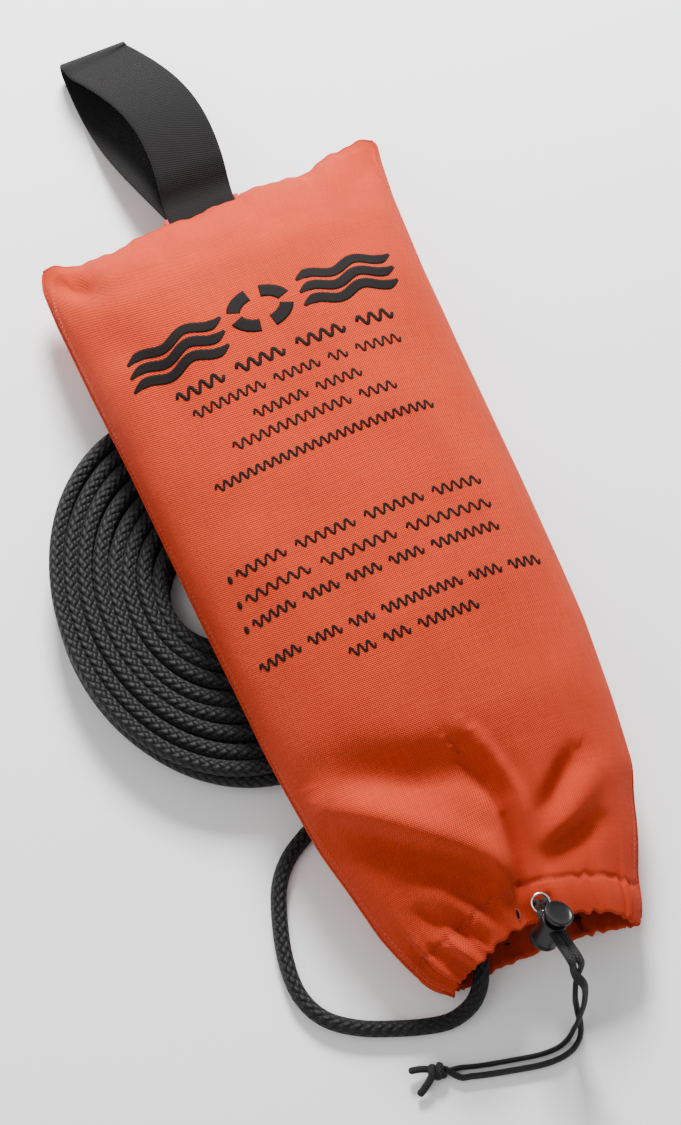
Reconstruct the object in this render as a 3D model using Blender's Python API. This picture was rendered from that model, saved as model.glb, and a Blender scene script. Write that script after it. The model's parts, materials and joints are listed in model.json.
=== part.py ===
"""Throw rope bag: a drawstring bag lying on its back over its own coil of rope.

Metres, +Z up, floor at Z = 0. +Y runs from the mouth to the closed end, +X to the right.
"""

import math

import bmesh
import bpy
import numpy as np
from mathutils import Matrix, Vector

for old in list(bpy.data.objects):
    bpy.data.objects.remove(old, do_unlink=True)

# ---- overall sizes
BAG_L = 0.505  # closed-end seam to mouth lip, along Y
BAG_W = 0.218  # filled width
BAG_H = 0.088  # filled height over the floor
MOUTH_W = 0.128  # gathered mouth, outside
MOUTH_H = 0.050
MOUTH_FLARE = 0.0045  # the hem is this much wider all round where it joins the panels
CLOTH = 0.0016  # panel thickness

# ---- webbing, rope and drawcord
WEB_W = 0.0440
WEB_T = 0.0020
HANDLE_REACH = 0.138  # handle fold beyond the end seam
ROPE_D = 0.0095
COIL_TURNS = 8
COIL_LAYERS = 3
CORD_D = 0.0036
TAIL_SPACING = CORD_D + 0.0006

# ---- hem, seams and thread
HEM_DEPTH = 0.022
SEAM_T = 0.0040  # how far a side seam reaches in from the silhouette
SEAM_HALF = 0.0030  # half the height of a side seam
END_SEAM_DEPTH = 0.009
THREAD_R = 0.00045

# ---- cord lock, along its own axis from the centre of the cord slot
LOCK_R = 0.0074
LOCK_TRAVEL = 0.0040
LOCK_WALL = 0.0018
LOCK_TILT = (0.44, 0.21, 0.873)
SPRING_WIRE = 0.0008
SPRING_TURNS = 3.25

# ---- clearances
GAP = 0.0003
RUN = 0.0005  # between the lock's moving parts
RIM = 0.0011  # between a side seam and the panels' turned edges
HEM_LIFT = 0.0014  # the hem's lowest stitch stays this far off the floor

# ---- derived sizes
SX = BAG_W / 0.218
SY = BAG_L / 0.505
Y_END = 0.192 * SY  # seam line of the closed end
Y_LIP = Y_END - BAG_L  # mean Y of the mouth lip
LIP_SWEEP = 0.0065  # the lower lip reaches this much further out than the mean
HEM_T = CORD_D + 2 * CLOTH + 4 * GAP
HEM_TOP = Y_LIP + LIP_SWEEP + HEM_DEPTH
MOUTH_X = -0.0085 * SX
MOUTH_Z = MOUTH_H / 2
COIL_H = COIL_LAYERS * ROPE_D * 0.95 + 0.0009
COIL_RISE = COIL_H - 0.027975  # what a thicker rope adds to the height of what lies on the coil
COIL_C = (-0.093 * SX, -0.043 * SY)
COIL_HOLE = (0.0265, 0.0285)
COIL_OUT = (COIL_HOLE[0] + COIL_TURNS * ROPE_D, COIL_HOLE[1] + COIL_TURNS * ROPE_D * 1.29)
BACK_OVER_COIL = COIL_H + 0.0015

X_AXIS = Vector((1, 0, 0))
MM = 0.001


def material(name, colour, roughness, metallic=0.0):
    """A Principled material of one colour."""
    made = bpy.data.materials.new(name)
    made.use_nodes = True
    shader = made.node_tree.nodes["Principled BSDF"]
    shader.inputs["Base Color"].default_value = (*colour, 1)
    shader.inputs["Roughness"].default_value = roughness
    shader.inputs["Metallic"].default_value = metallic
    made.diffuse_color = (*colour, 1)
    return made


CLOTH_MAT = material("orange_pack_cloth", (0.80, 0.13, 0.03), 0.8)
SEAM_MAT = material("orange_seam", (0.72, 0.11, 0.025), 0.8)
THREAD_MAT = material("orange_thread", (0.60, 0.09, 0.02), 0.7)
WEB_MAT = material("black_webbing", (0.020, 0.020, 0.022), 0.75)
ROPE_MAT = material("black_rope", (0.018, 0.018, 0.020), 0.65)
CORD_MAT = material("black_cord", (0.022, 0.022, 0.024), 0.8)
PLASTIC_MAT = material("black_plastic", (0.015, 0.015, 0.016), 0.35)
STEEL_MAT = material("bright_steel", (0.70, 0.70, 0.72), 0.25, 1.0)
BLACK_THREAD_MAT = material("black_thread", (0.03, 0.03, 0.03), 0.7)


def add(name, points, faces, look, smooth=True):
    """A mesh object of these points and faces, turned to face out."""
    data = bpy.data.meshes.new(name)
    data.from_pydata([tuple(map(float, p)) for p in points], [], faces)
    made = bpy.data.objects.new(name, data)
    bpy.context.scene.collection.objects.link(made)
    work = bmesh.new()
    work.from_mesh(data)
    bmesh.ops.recalc_face_normals(work, faces=work.faces)
    work.to_mesh(data)
    work.free()
    data.materials.append(look)
    for face in data.polygons:
        face.use_smooth = smooth
    return made


def loft(name, rings, look, closed=False, smooth=True):
    """A closed solid through rings of points, capped at both ends unless it closes on itself."""
    rings = np.asarray(rings, float)
    n, m = rings.shape[:2]
    faces = []
    for i in range(n if closed else n - 1):
        for j in range(m):
            a = i * m + j
            b = i * m + (j + 1) % m
            c = ((i + 1) % n) * m + (j + 1) % m
            d = ((i + 1) % n) * m + j
            faces.append((a, b, c, d))
    if not closed:
        faces.append(tuple(range(m))[::-1])
        faces.append(tuple((n - 1) * m + j for j in range(m)))
    return add(name, rings.reshape(-1, 3), faces, look, smooth)


def hollow_loft(name, outer, inner, look):
    """A tube with a wall, open at both ends, through rings of outer and inner points."""
    outer = np.asarray(outer, float)
    inner = np.asarray(inner, float)
    n, m = outer.shape[:2]
    faces = []
    for i in range(n - 1):
        for j in range(m):
            k = (j + 1) % m
            faces.append((i * m + j, i * m + k, (i + 1) * m + k, (i + 1) * m + j))
            o = n * m
            faces.append((o + i * m + j, o + (i + 1) * m + j, o + (i + 1) * m + k, o + i * m + k))
    for i in (0, n - 1):
        for j in range(m):
            k = (j + 1) % m
            faces.append((i * m + j, n * m + i * m + j, n * m + i * m + k, i * m + k))
    points = np.concatenate([outer.reshape(-1, 3), inner.reshape(-1, 3)])
    return add(name, points, faces, look)


def smooth_route(points, count):
    """A smooth curve through a few route points, sampled evenly along its length."""
    p = np.asarray(points, float)
    p = np.vstack([2 * p[0] - p[1], p, 2 * p[-1] - p[-2]])
    dense = []
    for i in range(1, len(p) - 2):
        t = np.linspace(0, 1, 24, endpoint=False)[:, None]
        a, b, c, d = p[i - 1 : i + 3]
        dense.append(0.5 * (2 * b + (c - a) * t + (2 * a - 5 * b + 4 * c - d) * t**2
                            + (3 * b - a - 3 * c + d) * t**3))
    dense = np.vstack([*dense, p[-2:-1]])
    run = np.r_[0, np.cumsum(np.linalg.norm(np.diff(dense, axis=0), axis=1))]
    at = np.linspace(0, run[-1], count)
    return np.stack([np.interp(at, run, dense[:, k]) for k in range(3)], axis=1)


def tube(name, points, radius, look, resolution=2):
    """A round cord along these points, with flat closed ends."""
    data = bpy.data.curves.new(name, "CURVE")
    data.dimensions = "3D"
    spline = data.splines.new("POLY")
    spline.points.add(len(points) - 1)
    for point, at in zip(spline.points, points):
        point.co = (*map(float, at), 1)
    data.bevel_depth = radius
    data.bevel_resolution = resolution
    data.use_fill_caps = True
    data.materials.append(look)
    made = bpy.data.objects.new(name, data)
    bpy.context.scene.collection.objects.link(made)
    return made


def turned(name, profile, look, steps=28):
    """A solid of revolution about local Z from (radius, height) points; the profile closes on itself."""
    rings = []
    for k in range(steps):
        a = 2 * math.pi * k / steps
        rings.append([(r * math.cos(a), r * math.sin(a), z) for r, z in profile])
    return loft(name, rings, look, closed=True)


def lathe(name, profile, look, steps=28):
    """A turned solid about local Z through (radius, height) points, with a flat disc at each end."""
    rings = []
    for r, z in profile:
        rings.append([(r * math.cos(2 * math.pi * k / steps), r * math.sin(2 * math.pi * k / steps), z)
                      for k in range(steps)])
    return loft(name, rings, look)


def cut(target, cutter):
    """Takes one closed mesh out of another and keeps the cutter only as a hidden wire."""
    cutter.hide_render = True
    cutter.display_type = "WIRE"
    boolean = target.modifiers.new("cut", "BOOLEAN")
    boolean.operation = "DIFFERENCE"
    boolean.solver = "EXACT"
    boolean.object = cutter


def solidify(target, thickness):
    """Gives a surface its thickness, on the side away from its normals."""
    shell = target.modifiers.new("cloth", "SOLIDIFY")
    shell.thickness = thickness
    shell.offset = -1
    shell.use_even_offset = False


# ---- the bag's outer shape
SIDE_Y = np.array([-313, -300, -280, -256, -232, -200, -150, -60, 40, 95, 150, 178, 192]) * MM * SY
SIDE_L = np.array([-63, -68, -80, -90, -97, -102, -105, -108, -110, -112, -113, -111, -109]) * MM * SX
SIDE_R = np.array([53, 56, 64, 76, 85, 90, 95, 98, 100, 102, 106, 111, 114]) * MM * SX
TOP_Y = np.array([-313, -285, -240, -190, -120, 0, 90, 140, 170, 185, 192]) * MM * SY
TOP_Z = np.array([50, 55, 68, 80, 87, 88, 86, 76, 58, 40, 31]) * MM * (BAG_H / 0.088)
SEAM_Y = np.array([-313, -280, -220, -120, 60, 150, 192]) * MM * SY
SEAM_Z = np.array([25, 28, 34, 40, 40, 34, 27]) * MM + np.array([0, 0, 1, 1, 1, 1, 0]) * COIL_RISE


def fair(at, ys, values):
    """Values read between given ones, with the corners rounded over 12 mm either side."""
    spread = np.linspace(-1, 1, 9) * 12 * MM
    return np.mean([np.interp(np.asarray(at) + s, ys, values) for s in spread], axis=0)


def power(value, p):
    return np.sign(value) * np.abs(value) ** p


def mouthness(y):
    """0 on the filled bag and 1 at the gathered hem."""
    t = np.clip((HEM_TOP + 0.075 * SY - y) / (0.075 * SY), 0, 1)
    return t * t * (3 - 2 * t)


def coil_relief(x, y):
    """1 over the coil, falling to 0 beyond it, so that the back panel lies over the rope."""
    e = np.hypot((x - COIL_C[0]) / (COIL_OUT[0] + 0.004), (y - COIL_C[1]) / (COIL_OUT[1] + 0.004))
    t = np.clip((1.42 - e) / 0.40, 0, 1)
    return t * t * (3 - 2 * t)


def edge_gap(y):
    """Half the height left for the seam between the two panels."""
    t = np.clip((Y_END - y) / (0.05 * SY), 0, 1)
    return SEAM_HALF * (0.5 + 0.5 * t) + RIM


def shell(angle, y, inset=0.0):
    """A point of the bag's outer surface: angle 0 at the right seam, 180 over the top at the left."""
    m = mouthness(y)
    right = fair(y, SIDE_Y, SIDE_R) * (1 - m) + (MOUTH_X + MOUTH_W / 2 + MOUTH_FLARE) * m
    left = fair(y, SIDE_Y, SIDE_L) * (1 - m) + (MOUTH_X - MOUTH_W / 2 - MOUTH_FLARE) * m
    middle, half = (left + right) / 2, (right - left) / 2 - inset
    top = fair(y, TOP_Y, TOP_Z) * (1 - m) + (MOUTH_H + MOUTH_FLARE * 0.6) * m
    seam = fair(y, SEAM_Y, SEAM_Z) * (1 - m) + MOUTH_Z * m
    c, s = np.cos(angle), np.sin(angle)
    across = power(c, 0.86)
    x = middle + half * across
    gap = edge_gap(y)
    up = seam + gap + np.maximum(top - seam - gap - inset, 0.0001) * power(np.abs(s), 0.86)
    depth = np.maximum(seam - gap - inset, 0.0001)
    flat = 0.86 * m + 0.56 * (1 - m)
    press = 1.0 * m + 1.15 * (1 - m)
    low = np.maximum(seam - gap - press * depth * power(np.abs(s), flat), inset)
    tail = np.clip((y - Y_END + 0.12 * SY) / (0.12 * SY), 0, 1)
    low = low + (seam - gap - low) * tail**2 * 0.92
    low = np.maximum(low, (BACK_OVER_COIL + inset) * coil_relief(x, y) * (1 - m))
    low = np.minimum(low, seam - gap)
    z = np.where(s >= 0, up, low)
    return np.stack([x, y + LIP_SWEEP * (s - 1) * m, z], axis=-1)


ACROSS, ALONG = 20, 23


def panel(name, start, stop):
    """Half of the bag's cloth, between its two side seams, from the end seam to the hem."""
    angles = np.linspace(start, stop, ACROSS)
    t = np.linspace(0, 1, ALONG)
    t = t - 0.35 / (2 * math.pi) * np.sin(2 * math.pi * t)
    rows = []
    for k in t:
        y = Y_END - 0.0005 + (HEM_TOP + 0.0009 - Y_END) * k
        rows.append(shell(angles, np.full(ACROSS, y)))
    points = np.concatenate(rows)
    faces = []
    for i in range(ALONG - 1):
        for j in range(ACROSS - 1):
            a = i * ACROSS + j
            faces.append((a, a + 1, a + ACROSS + 1, a + ACROSS))
    if stop < start:
        faces = [f[::-1] for f in faces]
    data = bpy.data.meshes.new(name)
    data.from_pydata([tuple(map(float, p)) for p in points], [], faces)
    made = bpy.data.objects.new(name, data)
    bpy.context.scene.collection.objects.link(made)
    data.materials.append(CLOTH_MAT)
    for face in data.polygons:
        face.use_smooth = True
    solidify(made, CLOTH)
    return made


panel("front_panel", 0.0, math.pi)
panel("back_panel", -0.0001, 0.0001 - math.pi)


# ---- side seams and end seam
def side_seam(name, side):
    """The felled seam that joins the two panels down one side."""
    rings = []
    for y in np.linspace(Y_END - 0.0008, HEM_TOP - LIP_SWEEP + 0.0009, 26):
        m = mouthness(y)
        edge = fair(y, SIDE_Y, SIDE_R if side > 0 else SIDE_L) * (1 - m)
        edge = edge + (MOUTH_X + side * (MOUTH_W / 2 + MOUTH_FLARE)) * m
        z = fair(y, SEAM_Y, SEAM_Z) * (1 - m) + MOUTH_Z * m
        high = edge_gap(y) - RIM
        out = edge + side * 0.0010
        inside = edge - side * (SEAM_T - 0.0010)
        corner = 0.0009
        rings.append([
            (inside, y, z - high), (out - side * corner, y, z - high), (out, y, z - high + corner),
            (out, y, z + high - corner), (out - side * corner, y, z + high), (inside, y, z + high),
        ])
    return loft(name, rings, SEAM_MAT)


side_seam("side_seam_left", -1)
side_seam("side_seam_right", 1)

END_L = fair(Y_END, SIDE_Y, SIDE_L) - 0.002
END_R = fair(Y_END, SIDE_Y, SIDE_R) + 0.002
END_Z = float(fair(Y_END, SEAM_Y, SEAM_Z))
END_HALF = float(edge_gap(Y_END)) + CLOTH + 0.0002


def end_seam():
    """The closed end: the panels' joined edges, slightly puckered, with a rounded ear at each corner."""
    rings = []
    for t in np.linspace(0, 1, 41):
        x = END_L + (END_R - END_L) * t
        pucker = 0.0006 * math.sin(2 * math.pi * 9 * t)
        ear = 1 - min(1, min(t, 1 - t) / 0.03) ** 0.5
        deep = END_SEAM_DEPTH * (1 - 0.35 * ear) + pucker
        high = END_HALF * (1 - 0.45 * ear)
        near = Y_END + 0.0003
        rings.append([
            (x, near, END_Z - high), (x, near + deep * 0.6, END_Z - high * 0.9),
            (x, near + deep, END_Z - high * 0.35), (x, near + deep, END_Z + high * 0.35),
            (x, near + deep * 0.6, END_Z + high * 0.9), (x, near, END_Z + high),
        ])
    return loft("end_seam", rings, SEAM_MAT)


seam = end_seam()


# ---- hem: a casing in two halves round the mouth
def hem_frame(angle):
    """Centre of the casing at this angle round the mouth, and its outward direction in the XZ plane."""
    a = MOUTH_W / 2 - HEM_T / 2
    b = MOUTH_H / 2 - HEM_T / 2 - HEM_LIFT

    def at(t):
        return np.array([MOUTH_X + a * power(math.cos(t), 0.86), 0,
                         MOUTH_Z + b * power(math.sin(t), 0.86)])
    here = at(angle)
    along = at(angle + 0.02) - at(angle - 0.02)
    out = np.array([along[2], 0, -along[0]])
    here[1] = Y_LIP + LIP_SWEEP * math.sin(angle) + HEM_DEPTH / 2
    return here, out / np.linalg.norm(out)


def flare_at(angle):
    """The hem flares to the sides and upwards, and not into the floor."""
    return 1.0 if math.sin(angle) > 0 else max(0.0, 1.0 + 2.5 * math.sin(angle))


def casing_middle(angle):
    """Where the drawcord runs inside the casing."""
    here, out = hem_frame(angle)
    return here + out * MOUTH_FLARE * 0.5 * flare_at(angle)


CASING = [(1, 0.72), (0.55, 1), (-0.55, 1), (-1, 0.72), (-1, -0.72), (-0.55, -1), (0.55, -1), (1, -0.72)]


def casing_ring(angle, half_thick, half_deep):
    """One section of the casing."""
    here, out = hem_frame(angle)
    return [here + out * (half_thick * n + MOUTH_FLARE * max(0.0, 0.5 + 0.5 * d) * flare_at(angle))
            + np.array([0, half_deep * d, 0]) for n, d in CASING]


def hem(name, start, stop):
    """Half of the hollow hem that the drawcord runs in."""
    angles = np.linspace(start, stop, 25)
    outer = [casing_ring(a, HEM_T / 2, HEM_DEPTH / 2) for a in angles]
    inner = [casing_ring(a, HEM_T / 2 - CLOTH, HEM_DEPTH / 2 - CLOTH) for a in angles]
    return hollow_loft(name, outer, inner, SEAM_MAT)


HEM_END = 0.012
front_hem = hem("front_hem", HEM_END, math.pi - HEM_END)
back_hem = hem("back_hem", -HEM_END, -math.pi + HEM_END)

# ---- cord lock: its axis, the way the cord runs through it, and where it hangs
AXIS = Vector(LOCK_TILT).normalized()
CORD_WAY = (Vector((0, -1, 0)) + AXIS * AXIS.y).normalized()
SIDE_WAY = AXIS.cross(CORD_WAY)
HEM_ROOF = MOUTH_H - HEM_LIFT
SLOT = Vector((MOUTH_X + 0.0073, Y_LIP - 0.0018, HEM_ROOF + 0.0082))
SLOT_HALF = CORD_D / 2 + RUN
SLOT_WIDE = TAIL_SPACING / 2 + CORD_D / 2 + RUN


def on_lock(made):
    """Stands a piece on the lock's axis, with its origin at the cord slot."""
    turn = np.identity(4)
    turn[:3, 0] = CORD_WAY
    turn[:3, 1] = AXIS.cross(CORD_WAY)
    turn[:3, 2] = AXIS
    turn[:3, 3] = SLOT
    made.matrix_world = Matrix([list(row) for row in turn])
    return made


def box(name, low, high, look):
    """A plain block between two corners."""
    work = bmesh.new()
    bmesh.ops.create_cube(work, size=1)
    for vertex in work.verts:
        for k in range(3):
            vertex.co[k] = (low[k] + high[k]) / 2 + vertex.co[k] * (high[k] - low[k])
    data = bpy.data.meshes.new(name)
    work.to_mesh(data)
    work.free()
    data.materials.append(look)
    made = bpy.data.objects.new(name, data)
    bpy.context.scene.collection.objects.link(made)
    return made


BORE = LOCK_R - LOCK_WALL
PLUNGER = BORE - RUN * 0.6
BRIDGE = 0.0024
WINDOW_LOW = -SLOT_HALF
WINDOW_HIGH = SLOT_HALF + LOCK_TRAVEL
PLUNGER_FOOT = WINDOW_LOW - BRIDGE
HEAD_UNDER = WINDOW_HIGH + BRIDGE
BARREL_TOP = HEAD_UNDER - LOCK_TRAVEL - RUN
HEAD_TOP = HEAD_UNDER + 0.0026
SPRING_REST = LOCK_TRAVEL + (SPRING_TURNS + 1) * SPRING_WIRE * 1.05
BORE_FLOOR = PLUNGER_FOOT - SPRING_REST - 2 * GAP
BARREL_FOOT = BORE_FLOOR - 0.0015

barrel = lathe("lock_barrel", [
    (LOCK_R + 0.0005, BARREL_FOOT), (LOCK_R + 0.0008, BARREL_FOOT + 0.0012), (LOCK_R, BARREL_FOOT + 0.0050),
    (LOCK_R, BARREL_TOP - 0.0005), (LOCK_R - 0.0005, BARREL_TOP), (BORE, BARREL_TOP), (BORE, BORE_FLOOR),
], PLASTIC_MAT)
cut(barrel, on_lock(box("barrel_slot", (-0.02, -SLOT_WIDE, -SLOT_HALF), (0.02, SLOT_WIDE, SLOT_HALF), PLASTIC_MAT)))
on_lock(barrel)

HEAD_R = LOCK_R + 0.0011
button = lathe("lock_button", [
    (PLUNGER, PLUNGER_FOOT), (PLUNGER, HEAD_UNDER), (HEAD_R - 0.0003, HEAD_UNDER),
    (HEAD_R, HEAD_UNDER + 0.0004), (HEAD_R, HEAD_TOP - 0.0007), (HEAD_R - 0.0008, HEAD_TOP),
], PLASTIC_MAT)
cut(button, on_lock(box("button_window", (-0.02, -SLOT_WIDE, WINDOW_LOW), (0.02, SLOT_WIDE, WINDOW_HIGH), PLASTIC_MAT)))
on_lock(button)

coil_r = PLUNGER - SPRING_WIRE
low = BORE_FLOOR + GAP + SPRING_WIRE / 2
high = PLUNGER_FOOT - GAP - SPRING_WIRE / 2
spring_points = []
SPRING_STEPS = 44
for k in range(SPRING_STEPS + 1):
    t = k / SPRING_STEPS
    turn_at = 2 * math.pi * SPRING_TURNS * t
    spring_points.append((coil_r * math.cos(turn_at), coil_r * math.sin(turn_at), low + (high - low) * t))
on_lock(tube("lock_spring", spring_points, SPRING_WIRE / 2, STEEL_MAT, 1))

# ---- grommet in the front hem, and the hole through the casing's outer wall that it lines
HOLE_R = TAIL_SPACING / 2 + CORD_D / 2 + 0.0018
GROMMET_AT = Vector((SLOT.x - 0.0008, Y_LIP + LIP_SWEEP + HEM_DEPTH * 0.42,
                     HEM_ROOF + MOUTH_FLARE * 0.42))
hole = lathe("grommet_hole", [(HOLE_R + 0.0010, -HEM_T / 2), (HOLE_R + 0.0010, 0.006)], STEEL_MAT, 20)
hole.location = GROMMET_AT
hole.rotation_euler.x = math.atan(MOUTH_FLARE / HEM_DEPTH)
cut(front_hem, hole)
grommet = turned("grommet", [
    (HOLE_R, -0.0010), (HOLE_R + 0.0006, -0.0010), (HOLE_R + 0.0006, 0.0004), (HOLE_R + 0.0016, 0.0004),
    (HOLE_R + 0.0018, 0.0008), (HOLE_R + 0.0013, 0.0014), (HOLE_R + 0.0004, 0.0013), (HOLE_R, 0.0006),
], STEEL_MAT, 20)
grommet.location = GROMMET_AT
grommet.rotation_euler.x = math.atan(MOUTH_FLARE / HEM_DEPTH)

# ---- drawcord: inside the hem, out through the grommet, through the lock, then two free tails
INSIDE = SLOT - CORD_WAY * 0.0105


def strand(side):
    """The strand from the lock back over the grommet into one end of the casing."""
    spread = SIDE_WAY * (side * TAIL_SPACING / 2)
    mid = GROMMET_AT + Vector((side * TAIL_SPACING / 2, -0.0004, 0))
    return [INSIDE + spread, INSIDE + spread - CORD_WAY * 0.0022, mid + Vector((0, -0.0012, 0.0044)),
            mid + Vector((0, 0.0014, 0.0008)), mid + Vector((side * 0.0036, 0.0022, -HEM_T * 0.47))]


def casing_angle_at(x):
    """The angle round the mouth at which the casing's centre has this X, on the upper side."""
    angles = np.linspace(0.05, math.pi - 0.05, 400)
    xs = np.array([casing_middle(a)[0] for a in angles])
    return float(angles[np.argmin(np.abs(xs - x))])


right_angle = casing_angle_at(GROMMET_AT.x + 0.0135)
left_angle = casing_angle_at(GROMMET_AT.x - 0.0135)
round_mouth = [casing_middle(a) for a in np.linspace(right_angle, left_angle - 2 * math.pi, 30)]
way = [*[tuple(p) for p in strand(1)], *[tuple(p) for p in round_mouth], *[tuple(p) for p in strand(-1)[::-1]]]
tube("drawcord_in_hem", smooth_route(way, 84), CORD_D / 2, CORD_MAT)

STRAIGHT = 0.026
out_of_lock = SLOT + CORD_WAY * STRAIGHT
FLOOR_CORD = CORD_D / 2 + 0.0002
TAIL_ROUTE = [
    (1.4, -343.5, 53), (0.4, -350, 45), (-1.2, -355, 33), (-3, -359, 20), (-5, -363.5, 9), (-9.5, -368.5, 2.4),
    (-18, -371.6, 2.0), (-30, -371.4, 2.0), (-46, -368, 2.0), (-64, -363.5, 2.0), (-78, -359, 2.0),
]
KNOT_AT = Vector((-0.0905 * SX, -0.3545 * SY, 0.0052))


def tail_way(side):
    """One free tail of the drawcord, from just past the hem, through the lock, to the knot."""
    spread = SIDE_WAY * (side * TAIL_SPACING / 2)
    points = [INSIDE + spread + CORD_WAY * 2 * GAP, SLOT + spread, SLOT + spread + CORD_WAY * STRAIGHT * 0.5,
              out_of_lock + spread]
    base = [Vector((x * MM, y * MM, z * MM)) for x, y, z in TAIL_ROUTE]
    shift = out_of_lock - Vector((0.0006, -0.3402, 0.0578))
    n = len(base)
    for k, p in enumerate(base):
        ahead = base[min(k + 1, n - 1)] - base[max(k - 1, 0)]
        across = Vector((-ahead.y, ahead.x, 0)).normalized()
        fade = max(0.0, 1 - k / 6)
        sag = shift.z * fade
        points.append(Vector((p.x * SX + shift.x * fade, p.y + shift.y, max(p.z + sag, FLOOR_CORD)))
                      + across * (side * TAIL_SPACING / 2))
    return [tuple(p) for p in points]


tube("drawcord_tail_a", smooth_route(tail_way(1), 58), CORD_D / 2, CORD_MAT)
tube("drawcord_tail_b", smooth_route(tail_way(-1), 58), CORD_D / 2, CORD_MAT)

# ---- handle, as a loop of webbing that starts just outside the end seam
NOSE_R = WEB_T + 0.0005  # the folded strap at the seam is round where the handle hinges on it
AXIS_Y = Y_END + END_SEAM_DEPTH + 0.0012 + NOSE_R + 0.0008
ROOT_Y = AXIS_Y + NOSE_R + GAP
ROOT_X = -0.003 * SX
LEAN = -0.0185  # how far the fold lies to the left of the root
LOOP_H = 0.030
ROOT_Z = END_Z


def handle():
    """A strap that leaves the seam, turns back at a wide fold, and returns, with its two ends stacked."""
    reach = HANDLE_REACH - (ROOT_Y - Y_END)
    low_z, high_z = WEB_T / 2 + 0.0012, LOOP_H + WEB_T / 2
    bend = (high_z - low_z) / 2
    start = WEB_T / 2 + 0.00016
    lower = []
    for t in np.linspace(0, 1, 12):
        ease = t * t * (3 - 2 * t)
        lower.append((t * (reach - bend), ROOT_Z - start + (low_z - ROOT_Z + start) * ease))
    upper = []
    for t in np.linspace(1, 0, 12):
        ease = t * t * (3 - 2 * t)
        upper.append((t * (reach - bend), ROOT_Z + start + (high_z - ROOT_Z - start) * ease))
    mid_z = (low_z + high_z) / 2
    fold = [(reach - bend + bend * math.cos(a), mid_z + bend * math.sin(a))
            for a in np.linspace(-math.pi / 2, math.pi / 2, 11)[1:-1]]
    path = lower + fold + upper
    rings = []
    for k, (s, z) in enumerate(path):
        s0, z0 = path[max(k - 1, 0)]
        s1, z1 = path[min(k + 1, len(path) - 1)]
        length = math.hypot(s1 - s0, z1 - z0)
        out = np.array([0, (z1 - z0) / length, -(s1 - s0) / length]) * (WEB_T / 2)
        share = k / (len(path) - 1)
        twist = -0.007 * math.sin(math.pi * min(1, share * 2)) if share < 0.5 else 0.0
        centre = np.array([ROOT_X + LEAN * s / reach + twist * (1 - 2 * share if share < 0.5 else 0), ROOT_Y + s, z])
        across = np.array([WEB_W / 2, 0, 0])
        rings.append([centre - across - out, centre + across - out, centre + across + out, centre - across + out])
    return loft("handle_loop", rings, WEB_MAT, smooth=False)


handle_loop = handle()



def handle_tab():
    """The part of the strap that stays in the end seam: flat, with a rounded edge on the hinge's axis."""
    section = [(Y_END + END_SEAM_DEPTH + 0.0012, -0.0016)]
    section += [(AXIS_Y + NOSE_R * math.cos(a), NOSE_R * math.sin(a)) for a in np.linspace(-2.4, 2.4, 15)]
    section += [(Y_END + END_SEAM_DEPTH + 0.0012, 0.0016)]
    rings = [[(x, y, END_Z + z) for y, z in section] for x in (ROOT_X - WEB_W / 2, ROOT_X + WEB_W / 2)]
    return loft("handle_tab", rings, WEB_MAT, smooth=False)


handle_tab()

# ---- thread
def surface_thread(name, angle, start, stop, look, count=30):
    """A row of stitching along the bag, drawn as one fine cord just off the cloth."""
    points = []
    for y in np.linspace(start, stop, count):
        here = shell(np.array([angle]), np.array([y]))[0]
        a = shell(np.array([angle - 0.03]), np.array([y]))[0]
        b = shell(np.array([angle + 0.03]), np.array([y]))[0]
        along = b - a
        out = np.array([along[2], 0, -along[0]])
        out = out / np.linalg.norm(out)
        points.append(here + out * (THREAD_R + 2 * GAP))
    return tube(name, points, THREAD_R, look, 1)


surface_thread("side_stitch_left", math.pi - 0.10, Y_END - 0.012, HEM_TOP + 0.004, THREAD_MAT)
surface_thread("side_stitch_right", 0.10, Y_END - 0.012, HEM_TOP + 0.004, THREAD_MAT)

stitch_z = END_Z + END_HALF * 0.93 + THREAD_R + GAP
tube("end_stitch", [(END_L + 0.010 + (END_R - END_L - 0.020) * t, Y_END + 0.0022, stitch_z + 0.0001)
                    for t in np.linspace(0, 1, 26)], THREAD_R, THREAD_MAT, 1)


def hem_thread(name, start, stop):
    """The row of stitching that closes the casing."""
    points = []
    for angle in np.linspace(start, stop, 30):
        here, out = hem_frame(angle)
        lift = MOUTH_FLARE * 0.83 * flare_at(angle)
        points.append(here + out * (HEM_T / 2 + lift + THREAD_R + 2 * GAP) + np.array([0, HEM_DEPTH * 0.5 * 0.66, 0]))
    return tube(name, points, THREAD_R, THREAD_MAT, 1)


hem_thread("front_hem_stitch", 0.06, math.pi - 0.06)
hem_thread("back_hem_stitch", -0.06, -math.pi + 0.06)

# ---- inside: webbing loop in the end seam, the knot on it, and the stowed rope
ANCHOR_W = 0.020
ANCHOR_LEN = 0.030
ANCHOR_BEND = ROPE_D * 0.43 + 0.0037  # the loop turns round the rope with room to spare
ANCHOR_Z = END_Z + COIL_RISE


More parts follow.
